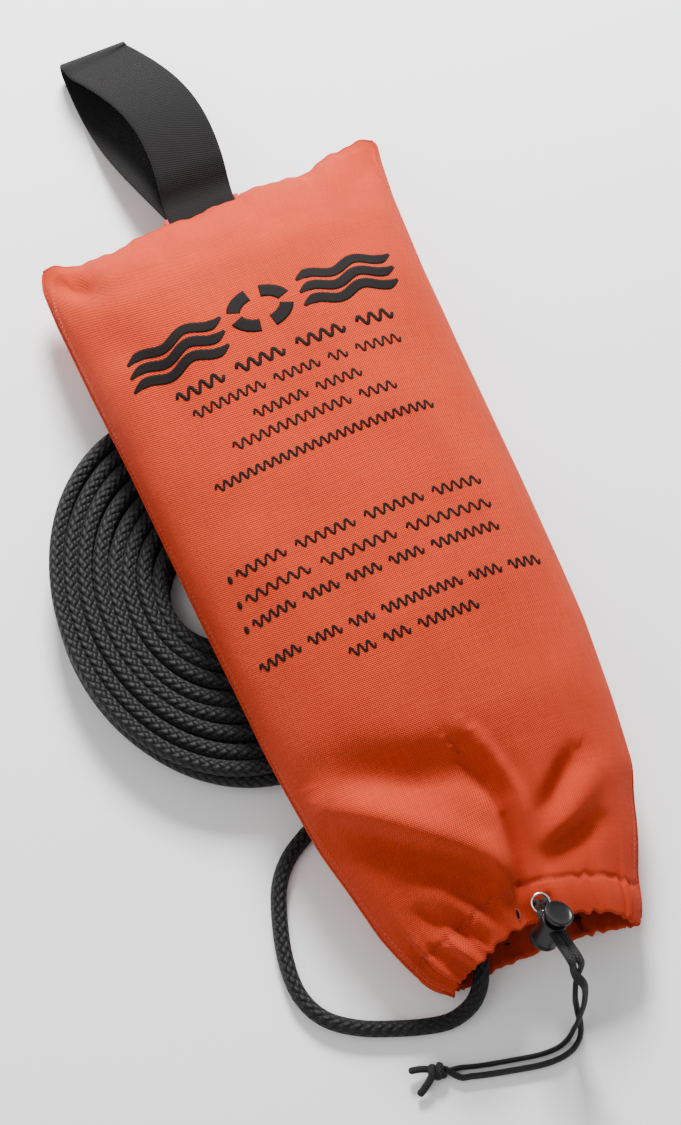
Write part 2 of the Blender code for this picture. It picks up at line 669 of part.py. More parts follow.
def anchor():
    """A short webbing loop inside the closed end, for the rope's inner end."""
    start = Y_END - 0.016
    bend = ANCHOR_BEND
    path = [(start, END_Z - 0.0012), (start - 0.010, ANCHOR_Z - bend)]
    path += [(start - ANCHOR_LEN + bend - bend * math.sin(a), ANCHOR_Z - bend * math.cos(a))
             for a in np.linspace(0, math.pi, 9)]
    path += [(start - 0.010, ANCHOR_Z + bend), (start, END_Z + 0.0012)]
    rings = []
    for k, (y, z) in enumerate(path):
        y0, z0 = path[max(k - 1, 0)]
        y1, z1 = path[min(k + 1, len(path) - 1)]
        length = math.hypot(y1 - y0, z1 - z0)
        out = np.array([0, -(z1 - z0) / length, (y1 - y0) / length]) * (WEB_T * 0.4)
        centre = np.array([ROOT_X, y, z])
        across = np.array([ANCHOR_W / 2, 0, 0])
        rings.append([centre - across - out, centre + across - out, centre + across + out, centre - across + out])
    return loft("anchor_loop", rings, WEB_MAT, smooth=False)


anchor()
loop_y = Y_END - 0.016 - ANCHOR_LEN + ANCHOR_BEND + 0.0016
rope_loop = [(ROOT_X + (ANCHOR_W * 0.5 + ROPE_D * 0.75) * math.sin(a), loop_y - ROPE_D * 1.5 * (1 - math.cos(a)), ANCHOR_Z)
             for a in np.linspace(-2.5, 2.5, 27)]
tube("anchor_rope", rope_loop, ROPE_D * 0.5 * 0.86, ROPE_MAT)


def stowed():
    """The rope packed in the bag, as one plain solid a little clear of the cloth."""
    rings = []
    for t in np.linspace(0, 1, 15):
        y = HEM_TOP + 0.055 + (Y_END - 0.095 - HEM_TOP - 0.055) * t
        bulge = 1 - abs(2 * t - 1) ** 5
        inset = CLOTH + 0.0075 + 0.016 * (1 - bulge)
        angles = np.linspace(0, 2 * math.pi, 20, endpoint=False) + math.pi / 20
        angles = np.where(angles > math.pi, angles - 2 * math.pi, angles)
        ring = shell(angles, np.full(20, y), inset)
        middle = ring.mean(axis=0)
        ring = middle + (ring - middle) * np.array([0.965, 1, 0.85]) + np.array([0, 0, 0.0020])
        ring[:, 1] = y
        rings.append(ring)
    return loft("stowed_rope", rings, ROPE_MAT)


stowed()

# ---- the rope outside: lead from the mouth, and the coil under the bag
LEAD_ROUTE = [
    (-30, -262, 25), (-36, -284, 24), (-40, -304, 22.5), (-45, -319, 19), (-54, -328, 11), (-68, -331, 5.6),
    (-82, -328.5, 5), (-98, -323, 5), (-118, -314, 5), (-134, -301, 5), (-141.5, -283, 5), (-140.5, -261, 5), (-134.5, -238, 5),
    (-126.5, -219, 5), (-115, -206, 5), (-100, -197, 5), (-80, -187, 5), (-62, -175.5, 5),
]


def lead_y(y):
    """A lead point's Y: with the bag's length at the mouth, and with the coil where it runs in to it."""
    share = np.clip((y + 300) / 60, 0, 1)
    return y * MM * SY * (1 - share) + (COIL_C[1] + (y + 43) * MM) * share


lead_points = []
for k, (x, y, z) in enumerate(LEAD_ROUTE):
    way = lead_y(y) if k > 8 else y * MM * SY
    lead_points.append((x * MM * SX, float(way), max(z * MM, ROPE_D / 2 + 0.0002)))
tube("rope_lead", smooth_route(lead_points, 40), ROPE_D / 2, ROPE_MAT, 2)


def coil():
    """The hank of rope on the floor, as one ring of its outer shape."""
    rings = []
    for k in range(40):
        a = 2 * math.pi * k / 40
        section = []
        for across, up in ((0, 0.12), (0, 0.80), (0.14, 1), (0.86, 1), (1, 0.80), (1, 0.12), (0.95, 0), (0.05, 0)):
            rx = COIL_HOLE[0] + (COIL_OUT[0] - COIL_HOLE[0]) * across
            ry = COIL_HOLE[1] + (COIL_OUT[1] - COIL_HOLE[1]) * across
            section.append((COIL_C[0] + rx * math.cos(a), COIL_C[1] + ry * math.sin(a),
                            0.0002 + (COIL_H - 0.0002) * up))
        rings.append(section)
    return loft("rope_coil", rings, ROPE_MAT, closed=True)


coil()


def knot():
    """The overhand knot that joins the drawcord's tails, with its two short ends."""
    work = bmesh.new()
    bmesh.ops.create_uvsphere(work, u_segments=16, v_segments=10, radius=1)
    for vertex in work.verts:
        x, y, z = vertex.co
        ridge = 1 + 0.10 * math.cos(3 * math.atan2(y, x))
        vertex.co = Vector((x * 0.0076 * ridge, y * 0.0062 * ridge, z * 0.0046))
    data = bpy.data.meshes.new("drawcord_knot")
    work.to_mesh(data)
    work.free()
    data.materials.append(CORD_MAT)
    made = bpy.data.objects.new("drawcord_knot", data)
    bpy.context.scene.collection.objects.link(made)
    made.location = KNOT_AT
    for face in data.polygons:
        face.use_smooth = True
    return made


knot()
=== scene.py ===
# %% [markdown]
# A throw rope bag lies on its back over its own coil of line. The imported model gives
# every place and size, so the scene starts by loading it. Each visible piece is then a
# surface worked out with numpy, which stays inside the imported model's box.
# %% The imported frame
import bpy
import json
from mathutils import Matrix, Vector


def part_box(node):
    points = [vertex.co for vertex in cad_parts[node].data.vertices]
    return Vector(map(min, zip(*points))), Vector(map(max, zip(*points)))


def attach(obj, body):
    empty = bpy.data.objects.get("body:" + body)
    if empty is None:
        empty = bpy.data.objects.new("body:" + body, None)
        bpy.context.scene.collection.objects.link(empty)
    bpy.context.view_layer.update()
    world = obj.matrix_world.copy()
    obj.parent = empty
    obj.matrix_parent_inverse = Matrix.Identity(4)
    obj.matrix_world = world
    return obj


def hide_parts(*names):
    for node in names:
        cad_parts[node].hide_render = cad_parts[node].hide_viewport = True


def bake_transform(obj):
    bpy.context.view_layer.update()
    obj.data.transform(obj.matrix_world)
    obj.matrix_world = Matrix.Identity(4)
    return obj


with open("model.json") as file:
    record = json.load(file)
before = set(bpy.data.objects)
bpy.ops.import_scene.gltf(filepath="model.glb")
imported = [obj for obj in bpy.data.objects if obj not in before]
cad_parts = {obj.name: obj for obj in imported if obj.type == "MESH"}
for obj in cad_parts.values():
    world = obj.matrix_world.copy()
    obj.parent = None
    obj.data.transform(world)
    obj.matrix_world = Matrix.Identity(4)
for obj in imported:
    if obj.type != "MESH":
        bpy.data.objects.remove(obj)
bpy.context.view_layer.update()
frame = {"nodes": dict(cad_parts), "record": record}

import json
import math

import bmesh
import bpy
import numpy as np
from mathutils import Matrix

MM = 0.001

# %% [markdown]
# The camera comes first. It stands in front of the mouth, high up and turned a little
# round the bag, with a long lens so that the bag hardly narrows with distance. Three
# directions and a distance from a point on the floor say where it is, which is easier to
# read and to check than a whole matrix.
# %% Camera
LOOK_AT = np.array([-14, -47, 0]) * MM
BACK = np.array([-0.149, -0.344, 0.927])
RIGHT = np.array([0.917, -0.399, 0.0])
BACK, RIGHT = BACK / np.linalg.norm(BACK), RIGHT / np.linalg.norm(RIGHT)
UP = np.cross(BACK, RIGHT)

lens = bpy.data.cameras.new("camera")
lens.lens = 50
lens.sensor_fit = "VERTICAL"
lens.sensor_height = 16.875
camera = bpy.data.objects.new("camera", lens)
bpy.context.scene.collection.objects.link(camera)
stand = np.identity(4)
stand[:3, 0], stand[:3, 1], stand[:3, 2] = RIGHT, UP, BACK
stand[:3, 3] = LOOK_AT + 2.0 * BACK
camera.matrix_world = Matrix(stand.tolist())
bpy.context.scene.camera = camera
print("camera at", np.round(stand[:3, 3], 3))

# %% [markdown]
# Nearly every piece is a skin over a grid of points, so one helper turns a grid into a
# mesh. It also stores where each face corner lies on the flat cloth or along the cord, in
# metres, because a weave or a braid has to follow the surface and not the room.
# %% From a grid of points to a mesh
def mesh_piece(name, points, faces, look):
    """An object whose smooth mesh has these points and faces."""
    data = bpy.data.meshes.new(name)
    data.from_pydata(np.reshape(points, (-1, 3)).tolist(), [], faces)
    data.polygons.foreach_set("use_smooth", np.ones(len(data.polygons), bool))
    data.materials.append(look)
    made = bpy.data.objects.new(name, data)
    bpy.context.scene.collection.objects.link(made)
    return made


def skin(name, points, look, round_rows=False, round_cols=False, flat=None, ends=False, inside_out=False):
    """A mesh through points[row, column].

    The face of cell (i, j) joins (i, j), (i, j+1), (i+1, j+1) and (i+1, j), or the other way round when
    inside_out. round_cols joins the last column to the first, round_rows the last row to the first, and
    ends closes the first and last rings with one face each. flat is the pair of UV grids, one cell larger
    where the grid is round.
    """
    points = np.asarray(points, float)
    rows, cols = points.shape[:2]
    i, j = np.meshgrid(np.arange(rows - (not round_rows)), np.arange(cols - (not round_cols)), indexing="ij")
    i, j = i.ravel(), j.ravel()
    down, side = (i + 1) % rows, (j + 1) % cols
    quads = np.stack([i * cols + j, i * cols + side, down * cols + side, down * cols + j], axis=1)
    order = [3, 2, 1, 0] if inside_out else [0, 1, 2, 3]
    faces = quads[:, order].tolist()
    if ends:
        first, last = list(range(cols)), [(rows - 1) * cols + k for k in range(cols)]
        faces += [first, last[::-1]] if inside_out else [first[::-1], last]
    made = mesh_piece(name, points, faces, look)
    if flat is not None:
        u, v = flat
        corners = np.stack([np.stack([u[a, b], v[a, b]], axis=-1)
                            for a, b in ((i, j), (i, j + 1), (i + 1, j + 1), (i + 1, j))], axis=1)[:, order]
        room = np.zeros((len(made.data.loops), 2))
        room[:corners.size // 2] = corners.reshape(-1, 2)
        made.data.uv_layers.new(name="flat").data.foreach_set("uv", room.ravel())
    return made


def unit(v):
    return v / np.linalg.norm(v, axis=-1, keepdims=True)


def square_to(v, d):
    """v without its part along the unit directions d, made one long."""
    return unit(v - d * np.sum(v * d, axis=-1, keepdims=True))


def run_along(path):
    """How far along a path each of its points lies."""
    return np.r_[0, np.cumsum(np.linalg.norm(np.diff(path, axis=0), axis=1))]


def length_of(path):
    return float(np.linalg.norm(np.diff(path, axis=0), axis=1).sum())


def smooth_route(points, step):
    """A smooth curve through a few points, sampled evenly every step metres.

    Between points b and c, with neighbours a and d, it is the Catmull-Rom cubic
    b + (c - a) t / 2 + (2a - 5b + 4c - d) t^2 / 2 + (3b - a - 3c + d) t^3 / 2.
    """
    p = np.asarray(points, float)
    p = np.vstack([2 * p[0] - p[1], p, 2 * p[-1] - p[-2]])
    a, b, c, d = (p[k:len(p) - 3 + k, None] for k in range(4))
    t = np.linspace(0, 1, 24, endpoint=False)[None, :, None]
    dense = (b + (c - a) * t / 2 + (2 * a - 5 * b + 4 * c - d) * t**2 / 2
             + (3 * b - a - 3 * c + d) * t**3 / 2)
    dense = np.vstack([dense.reshape(-1, 3), p[-2:-1]])
    run = run_along(dense)
    at = np.linspace(0, run[-1], max(2, int(round(run[-1] / step)) + 1))
    return np.stack([np.interp(at, run, dense[:, k]) for k in range(3)], axis=1)


def frames_along(path, first_side=(0, 0, 1)):
    """Tangent, side and out directions at each point of a path.

    Each side is the one before it, made square to the tangent, so that nothing twists on its way.
    """
    ahead = unit(np.gradient(path, axis=0))
    side = np.empty_like(path)
    now = np.asarray(first_side, float)
    for k, t in enumerate(ahead):
        now = now - t * (now @ t)
        now = now / np.linalg.norm(now)
        side[k] = now
    return ahead, side, np.cross(ahead, side)


def tube(name, path, radii, look, sides=14, first_side=(0, 0, 1), girth=1.0, swell=1.0):
    """A cord carried along a path: ring k is path[k] + r1 cos(a) side + r2 sin(a) out.

    radii is (r1, r2), half the cord's height and width. The two rings at each end shrink to 93% and 55%,
    so the ends are rounded. girth is the distance round it on the flat, or 1 for a braid, and swell
    multiplies each ring.
    """
    ahead, side, out = frames_along(path, first_side)
    angle = np.linspace(0, 2 * np.pi, sides, endpoint=False)
    size = np.ones(len(path)) * swell
    size[[0, -1]] *= 0.55
    size[[1, -2]] *= 0.93
    x = radii[0] * np.cos(angle) * size[:, None]
    y = radii[1] * np.sin(angle) * size[:, None]
    rings = path[:, None] + x[..., None] * side[:, None] + y[..., None] * out[:, None]
    u, v = np.meshgrid(np.linspace(0, girth, sides + 1), run_along(path))
    return skin(name, rings, look, round_cols=True, flat=(u, v), ends=True)


print("helpers ready")

# %% [markdown]
# A material is a small graph of nodes. These helpers keep such a graph readable as a
# formula: some add a Math node, and one starts a Principled material with the values that
# are the same all over it, which sit directly on the shader's sockets.
# %% Starting a material
def start(name, colour, rough, **values):
    """A Principled material; values are other sockets, such as Sheen_Weight=0.2."""
    made = bpy.data.materials.new(name)
    made.use_nodes = True
    made.diffuse_color = (*colour, 1)
    tree = made.node_tree
    shader = tree.nodes["Principled BSDF"]
    shader.inputs["Base Color"].default_value = (*colour, 1)
    shader.inputs["Roughness"].default_value = rough
    for key, value in values.items():
        shader.inputs[key.replace("_", " ")].default_value = value
    return made, tree, shader


def calc(tree, what, a, b=None, c=None, clamp=False):
    """A Math node of up to three numbers or sockets."""
    node = tree.nodes.new("ShaderNodeMath")
    node.operation, node.use_clamp = what, clamp
    for slot, value in zip(node.inputs, (a, b, c)):
        if isinstance(value, (int, float)):
            slot.default_value = value
        elif value is not None:
            tree.links.new(value, slot)
    return node.outputs[0]
def times(tree, a, b):
    return calc(tree, "MULTIPLY", a, b)


def plus(tree, a, b, clamp=False):
    return calc(tree, "ADD", a, b, clamp=clamp)


def sine(tree, a):
    return calc(tree, "SINE", a)

def flat_place(tree):
    """The two coordinates on the flat cloth, or round and along a cord."""
    uv = tree.nodes.new("ShaderNodeUVMap")
    uv.uv_map = "flat"
    split = tree.nodes.new("ShaderNodeSeparateXYZ")
    tree.links.new(uv.outputs[0], split.inputs[0])
    return uv.outputs[0], split.outputs[0], split.outputs[1]


def noise(tree, place, size, stretch=(1, 1, 1), detail=3.0):
    """Noise whose lumps are about size metres across, longer along an axis where stretch is below 1."""
    grow = tree.nodes.new("ShaderNodeMapping")
    grow.inputs["Scale"].default_value = [s / size for s in stretch]
    tree.links.new(place, grow.inputs[0])
    made = tree.nodes.new("ShaderNodeTexNoise")
    made.inputs["Scale"].default_value = 1.0
    made.inputs["Detail"].default_value = detail
    tree.links.new(grow.outputs[0], made.inputs["Vector"])
    return made.outputs[0]


def object_place(tree):
    return tree.nodes.new("ShaderNodeTexCoord").outputs["Object"]


def two_tones(tree, share, dark, light, into):
    """Base colour that goes from dark to light as share goes from 0 to 1."""
    mix = tree.nodes.new("ShaderNodeMix")
    mix.data_type = "RGBA"
    mix.inputs["A"].default_value = (*dark, 1)
    mix.inputs["B"].default_value = (*light, 1)
    tree.links.new(share, mix.inputs["Factor"])
    tree.links.new(mix.outputs["Result"], into.inputs["Base Color"])
    return mix


def relief(tree, height, depth, strength, into):
    """Small relief: height 0 to 1 stands for depth metres."""
    bump = tree.nodes.new("ShaderNodeBump")
    bump.inputs["Distance"].default_value = depth
    bump.inputs["Strength"].default_value = strength
    tree.links.new(height, bump.inputs["Height"])
    tree.links.new(bump.outputs[0], into.inputs["Normal"])


print("material helpers ready")

# %% [markdown]
# The bag is pack cloth: a coarse, slightly fuzzy plain weave in a strong orange. Its
# threads pass over and under, so the relief is the product of two sines, one along each
# set of threads. Uneven yarn makes streaks both ways, and slow noise keeps the dye from
# being perfectly even. The colour is also darker where the weave sits low, between the
# threads, which is painted shade. The coordinates are those of the flat cloth, so the weave
# follows every fold.
# %% Orange pack cloth
def pack_cloth(name, dark, light, thread=1.55 * MM, rough=0.85):
    made, tree, shader = start(name, light, rough, Sheen_Weight=0.05, Sheen_Roughness=0.45,
                               Sheen_Tint=(1.0, 0.35, 0.15, 1), Specular_IOR_Level=0.15)
    place, across, along = flat_place(tree)
    wave, slub = 2 * math.pi / thread, 1.2 * MM
    over = times(tree, sine(tree, times(tree, across, wave)), sine(tree, times(tree, along, wave)))
    yarn = plus(tree, noise(tree, place, slub, (1, 0.06, 1)), noise(tree, place, slub, (0.06, 1, 1)))
    height = plus(tree, calc(tree, "MULTIPLY_ADD", over, 0.5, 0.5), times(tree, yarn, 0.55))
    dye = noise(tree, place, 45 * MM, detail=4.0)
    # share darkens the colour where the weave sits low, between the threads, which is painted shade; the yarn
    # and dye noise are real tone.
    share = plus(tree, times(tree, over, 0.42), plus(tree, times(tree, yarn, 0.35), times(tree, dye, 0.45)),
                 clamp=True)
    two_tones(tree, share, dark, light, shader)
    relief(tree, height, 0.55 * MM, 0.9, shader)
    return made


CLOTH = pack_cloth("orange_pack_cloth", (0.26, 0.015, 0.006), (0.66, 0.055, 0.014))
# A darker copy of the cloth for the bag's inner face: painted shade inside the bag, not a different fabric.
INSIDE_SHADE_CLOTH = pack_cloth("cloth_inside_painted_shade", (0.12, 0.004, 0.002), (0.24, 0.009, 0.003))
THREAD, thread_tree, thread_shader = start("orange_thread", (0.42, 0.026, 0.004), 0.6, Sheen_Weight=0.2)
relief(thread_tree, noise(thread_tree, object_place(thread_tree), 0.35 * MM), 0.1 * MM, 0.6, thread_shader)
print("cloth", CLOTH.name, INSIDE_SHADE_CLOTH.name, THREAD.name)

# %% [markdown]
# The line is a hollow braid and the drawcord a flat one. In both, strands run round the
# cord in two opposite spirals and pass over each other, which makes a chequerboard of
# short bulges. With a = K(u + v/P) and b = K(u - v/P), where u goes once round the cord
# and v along it, a cell where floor(a) + floor(b) is even shows a strand of one spiral,
# and the next cell one of the other.
# %% Braided line and cord
def braid(name, dark, light, strands, pitch, depth, rough=0.62):
    made, tree, shader = start(name, light, rough, Sheen_Weight=0.03, Sheen_Roughness=0.4,
                               Specular_IOR_Level=0.25)
    _, around, along = flat_place(tree)
    lean = times(tree, along, strands / pitch)
    a = plus(tree, times(tree, around, strands), lean)
    b = calc(tree, "SUBTRACT", times(tree, around, strands), lean)
    even = calc(tree, "FLOORED_MODULO", plus(tree, calc(tree, "FLOOR", a), calc(tree, "FLOOR", b)), 2.0)
    one, other = (sine(tree, times(tree, calc(tree, "FRACT", k), math.pi)) for k in (a, b))
    crown = plus(tree, times(tree, one, calc(tree, "SUBTRACT", 1.0, even)), times(tree, other, even))
    ends = times(tree, one, other)
    height = plus(tree, times(tree, crown, 0.6), times(tree, ends, 0.4))
    fuzz = noise(tree, object_place(tree), 0.8 * MM)
    # share darkens the colour where the strands sit low, between them, which is painted shade; the fuzz noise
    # is real tone.
    share = plus(tree, times(tree, height, 0.75), times(tree, fuzz, 0.5), clamp=True)
    two_tones(tree, share, dark, light, shader)
    relief(tree, plus(tree, height, times(tree, fuzz, 0.25)), depth, 0.9, shader)
    return made


ROPE = braid("black_hollow_braid", (0.002, 0.002, 0.0025), (0.010, 0.0103, 0.0113), 6, 36 * MM, 1.3 * MM)
CORD = braid("black_flat_braid", (0.003, 0.003, 0.0035), (0.016, 0.016, 0.017), 6, 11 * MM, 0.5 * MM, 0.7)
print("braids", ROPE.name, CORD.name)

# %% [markdown]
# The handle is woven webbing: fine ribs across its width, in columns that are shifted by
# half a rib from one to the next. It is nearly black and matt, with a dusty bloom where
# light grazes it.
# %% Webbing, plastic and metal
def webbing(name):
    made, tree, shader = start(name, (0.012, 0.0115, 0.012), 0.9, Sheen_Weight=0.03, Sheen_Roughness=0.5,
                               Specular_IOR_Level=0.2)
    place, across, along = flat_place(tree)
    column_wide, rib_long = 1.5 * MM, 1.3 * MM
    column = times(tree, across, 1 / column_wide)
    shift = times(tree, calc(tree, "FLOORED_MODULO", calc(tree, "FLOOR", column), 2.0), math.pi)
    rib = sine(tree, plus(tree, times(tree, along, 2 * math.pi / rib_long), shift))
    ridge = sine(tree, times(tree, calc(tree, "FRACT", column), math.pi))
    weave = times(tree, calc(tree, "MULTIPLY_ADD", rib, 0.5, 0.5), ridge)
    speck = noise(tree, place, 0.9 * MM)
    # share darkens the colour in the grooves between ribs and columns, which is painted shade; the speck
    # noise is real tone.
    share = plus(tree, times(tree, weave, 0.45), times(tree, speck, 0.65), clamp=True)
    two_tones(tree, share, (0.003, 0.0028, 0.003), (0.014, 0.0128, 0.0135), shader)
    relief(tree, plus(tree, weave, times(tree, speck, 0.5)), 0.35 * MM, 0.8, shader)
    return made


WEBBING = webbing("black_webbing")


def moulded(name, colour, rough, grain, depth, **values):
    """Moulded plastic or pressed metal, with a fine grain that also varies its gloss."""
    made, tree, shader = start(name, colour, rough, Specular_IOR_Level=0.3, **values)
    fine = noise(tree, object_place(tree), grain)
    tree.links.new(calc(tree, "MULTIPLY_ADD", fine, 0.22, rough - 0.11), shader.inputs["Roughness"])
    relief(tree, fine, depth, 0.35, shader)
    return made


PLASTIC = moulded("black_moulded_plastic", (0.005, 0.005, 0.0055), 0.36, 0.6 * MM, 0.05 * MM)
STEEL = moulded("bright_steel", (0.72, 0.72, 0.74), 0.24, 0.9 * MM, 0.02 * MM, Metallic=1.0)
INK_AND_HOLE_SHADE, ink_tree, ink_shader = start("black_ink_and_hole_shade", (0.012, 0.010, 0.010), 0.8, Specular_IOR_Level=0.15)
patchy = noise(ink_tree, object_place(ink_tree), 1.1 * MM)
two_tones(ink_tree, patchy, (0.003, 0.002, 0.002), (0.009, 0.006, 0.006), ink_shader)
relief(ink_tree, patchy, 0.2 * MM, 0.6, ink_shader)
print("finishes", WEBBING.name, PLASTIC.name, STEEL.name, INK_AND_HOLE_SHADE.name)

# %% [markdown]
# The line leaves the bag at the left of its mouth, lies on the floor in one open curve,
# and runs in under the bag to a coil of three layers of eight turns. A line is a fixed
# length of something round, so it is one path: the way out, then spirals that shrink and
# grow by one diameter a turn, each layer on the last. About two fifths of the line is
# outside, and the rest is stowed in the bag.
# %% The line's path
ROPE_D = 9.5 * MM
COIL_SHIFT = 2.5 * MM
coil_low, coil_high = (np.array(c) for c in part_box("rope_coil"))
COIL_C = (coil_low + coil_high) / 2 + np.array([COIL_SHIFT, 0, 0])
OUT_X, OUT_Y = (coil_high - coil_low)[:2] / 2 - ROPE_D / 2 - np.array([COIL_SHIFT, 0])
TURNS = 8
IN_X, IN_Y = OUT_X - (TURNS - 1) * ROPE_D, 33 * MM

LEAD = np.array([
    (-30, -262, 25), (-36, -284, 24), (-40, -304, 22.5), (-45, -319, 19), (-54, -328, 11), (-68, -331, 5.6),
    (-82, -328.5, 5), (-98, -323, 5), (-118, -314, 5), (-134, -301, 5), (-141.5, -283, 5),
    (-140.5, -261, 5), (-134.5, -238, 5), (-126.5, -219, 5), (-115, -206, 5), (-100, -197, 5),
    (-80, -187, 5), (-62, -173, 5), (-44, -152, 5), (-30, -136, 5),
]) * MM


def spiral(begin, inward, height, count=TURNS, per_turn=44):
    """One layer of the coil, and the angle it ends at.

    x = cx + a cos t, y = cy + b sin t, with the semi-axes a and b going evenly between (OUT_X, OUT_Y) and
    (IN_X, IN_Y), and a slow wander of under a millimetre, so that no two turns are quite the same.
    """
    s = np.linspace(0, 1, count * per_turn)
    t = begin + 2 * np.pi * count * s
    share = s if inward else 1 - s
    a = OUT_X + (IN_X - OUT_X) * share + 0.7 * MM * np.sin(2.3 * t)
    b = OUT_Y + (IN_Y - OUT_Y) * share + 0.9 * MM * np.sin(1.7 * t + 1)
    z = np.full_like(t, height) + 0.35 * MM * np.sin(3.1 * t)
    return np.stack([COIL_C[0] + a * np.cos(t), COIL_C[1] + b * np.sin(t), z], axis=1), t[-1]


line_parts, angle_now = [LEAD], math.radians(-42)
STEP_UP = 0.45
for layer, height in enumerate((5.1, 14.0, 22.6)):
    if layer:
        angle_now += STEP_UP
    turns, angle_now = spiral(angle_now, layer != 1, height * MM)
    line_parts.append(turns)
line_path = smooth_route(np.vstack(line_parts), 4.2 * MM)
line = tube("throw_line", line_path, (ROPE_D / 2, ROPE_D / 2), ROPE, sides=14)
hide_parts("rope_lead", "rope_coil")
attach(line, "bag")

# %% [markdown]
# The drawcord's two tails leave the lock, twist once round each other on the way down, and
# lie on the floor to one overhand knot. Each is a flat braid, so its section is wide and
# thin.
# %% Drawcord tails
SLOT = np.array([-1.2, -314.8, 56.8]) * MM
AXIS = np.array([0.44004, 0.21002, 0.87307])
CORD_WAY = np.array([0.09452, -0.9777, 0.18754])
SIDE_WAY = np.cross(AXIS, CORD_WAY)
INSIDE = SLOT - CORD_WAY * 10.5 * MM
OUT_OF_LOCK = SLOT + CORD_WAY * 26 * MM
TAIL = np.array([
    (1.4, -343.5, 53), (0.4, -350, 45), (-1.2, -355, 33), (-3, -359, 20), (-5, -363.5, 9),
    (-9.5, -368.5, 2.6), (-18, -371.6, 2.3), (-30, -371.4, 2.3), (-46, -368, 2.3), (-64, -363.5, 2.3),
    (-78, -359, 2.6),
]) * MM


def tail_path(side):
    """The tail's route: through the lock, straight on, then down with half a turn round the other tail.

    Its distance from their shared middle is side * cos(turn) across and side * sin(turn) up the way.
    """
    lead = np.array([INSIDE, SLOT, SLOT + CORD_WAY * 13 * MM, OUT_OF_LOCK])
    middle = smooth_route(np.vstack([lead, TAIL]), 2.0 * MM)
    s = np.linspace(0, 1, len(middle))
    ahead = unit(np.gradient(middle, axis=0))
    turn = np.pi * np.clip((s - 0.36) / 0.26, 0, 1)
    apart = 2.7 * MM + 0.3 * MM * np.sin(np.pi * np.clip((s - 0.3) / 0.7, 0, 1))
    flat = unit(np.cross(np.tile([0, 0, 1.0], (len(s), 1)), ahead))
    blend = np.clip((s - 0.2) / 0.2, 0, 1)[:, None]
    across = square_to(SIDE_WAY * (1 - blend) - flat * blend, ahead)
    over = np.cross(ahead, across)
    turned = across * np.cos(turn)[:, None] + over * np.sin(turn)[:, None] * 0.8
    path = middle + side * apart[:, None] * turned
    path[:, 2] = np.maximum(path[:, 2], 3.1 * MM)
    return path


KNOT_AT = np.mean(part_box("drawcord_knot"), axis=0)


def knot_path(side):
    """Each tail's end: one turn round the middle of the knot, then a short end that sticks out."""
    t = np.linspace(0, 1, 60)
    round_it = 2 * np.pi * 1.15 * t + (0.3 if side > 0 else 2.6)
    x = KNOT_AT[0] + (5.2 - 9 * t) * MM
    y = KNOT_AT[1] + 3.3 * MM * np.cos(round_it)
    z = KNOT_AT[2] + 0.2 * MM + 2.4 * MM * np.sin(round_it)
    stick = np.clip((t - 0.80) / 0.20, 0, 1)
    x = x - 9 * MM * stick**1.2
    y = y + side * 5.0 * MM * stick**1.3
    return np.stack([x, y, np.maximum(z - 1.0 * MM * stick, 2.3 * MM)], axis=1)


TAILS = (("a", 1), ("b", -1))
knots = [tube(f"knot_braid_{letter}", smooth_route(knot_path(side), 0.8 * MM), (1.9 * MM, 2.3 * MM), CORD,
              sides=12) for letter, side in TAILS]
for (letter, side), knot in zip(TAILS, knots):
    into_knot = KNOT_AT + np.array([6.0, side * 1.4, -1.6]) * MM
    path = smooth_route(np.vstack([tail_path(side)[::3], into_knot]), 1.6 * MM)
    tail = tube(f"tail_braid_{letter}", path, (1.5 * MM, 3.0 * MM), CORD, sides=14, first_side=AXIS)
    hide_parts(f"drawcord_tail_{letter}", *(["drawcord_knot"] if letter == "a" else []))
    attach(tail, "bag")
    print("tail", letter, round(length_of(path), 4), "m")
for knot in knots:
    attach(knot, "bag")

# %% [markdown]
# The bag is one tube of cloth, sewn flat across its closed end and gathered at its mouth.
# Its shape is a section carried along Y. Going round at angle a, x is the middle plus half
# the width times cos(a)^0.86, and the upper cloth rises above the side seam by its height
# there times sin(a)^0.86, which is fuller than an ellipse, as stuffed cloth is. Nearer the
# mouth that power grows to 1.16. Tables give the two edges, the top and the seam at each
# Y, and a running mean rounds their corners.
# %% The bag's section
def fair(at, ys, values, reach=12):
    """A table read at `at`, averaged over reach millimetres either side."""
    spread = np.linspace(-1, 1, 9) * reach * MM
    return np.mean([np.interp(np.asarray(at) + s, np.array(ys) * MM, np.array(values) * MM) for s in spread],
                   axis=0)


def ease(t):
    """0 below 0, 1 above 1, and 3t^2 - 2t^3 between."""
    t = np.clip(t, 0, 1)
    return t * t * (3 - 2 * t)


def power(value, p):
    return np.sign(value) * np.abs(value) ** p


FULLNESS = 0.86
LOWEST = 0.9 * MM
Y_CLOSED, Y_LIP = 0.1905, -0.313
LEFT_EDGE = ([-326, -319, -310, -297, -277, -246, -219, -180, -150, -60, 40, 95, 150, 178, 186, 190, 195,
              199],
             [-58, -66, -74, -80, -87, -93, -99, -103, -105, -108, -110, -112, -113, -112, -110.5, -109, -106,
              -103])
RIGHT_EDGE = ([-326, -316, -299, -287, -275, -257, -241, -199, -150, -60, 40, 95, 150, 178, 186, 190, 195,
               199],
              [50, 55, 60, 66, 71, 77, 84, 90, 95, 98, 100, 102, 106, 111, 114, 115, 112, 106])
TOP = ([-313, -300, -285, -262, -240, -190, -120, 0, 90, 130, 155, 170, 180, 186, 190.5],
       [47, 50, 54, 61, 68, 80, 87, 88, 86, 79, 68, 57, 46, 38, 29])
SEAM = ([-313, -280, -220, -120, 60, 150, 192], [22, 26, 33, 40, 40, 34, 27])


def edges(y):
    """Where the bag's right and left edges lie at each Y."""
    return fair(y, *RIGHT_EDGE, reach=5), fair(y, *LEFT_EDGE, reach=5)


def near_mouth(y, reach=0.062):
    """0 on the filled bag, 1 at the hem."""
    return ease((Y_LIP + 0.018 + reach - y) / reach)


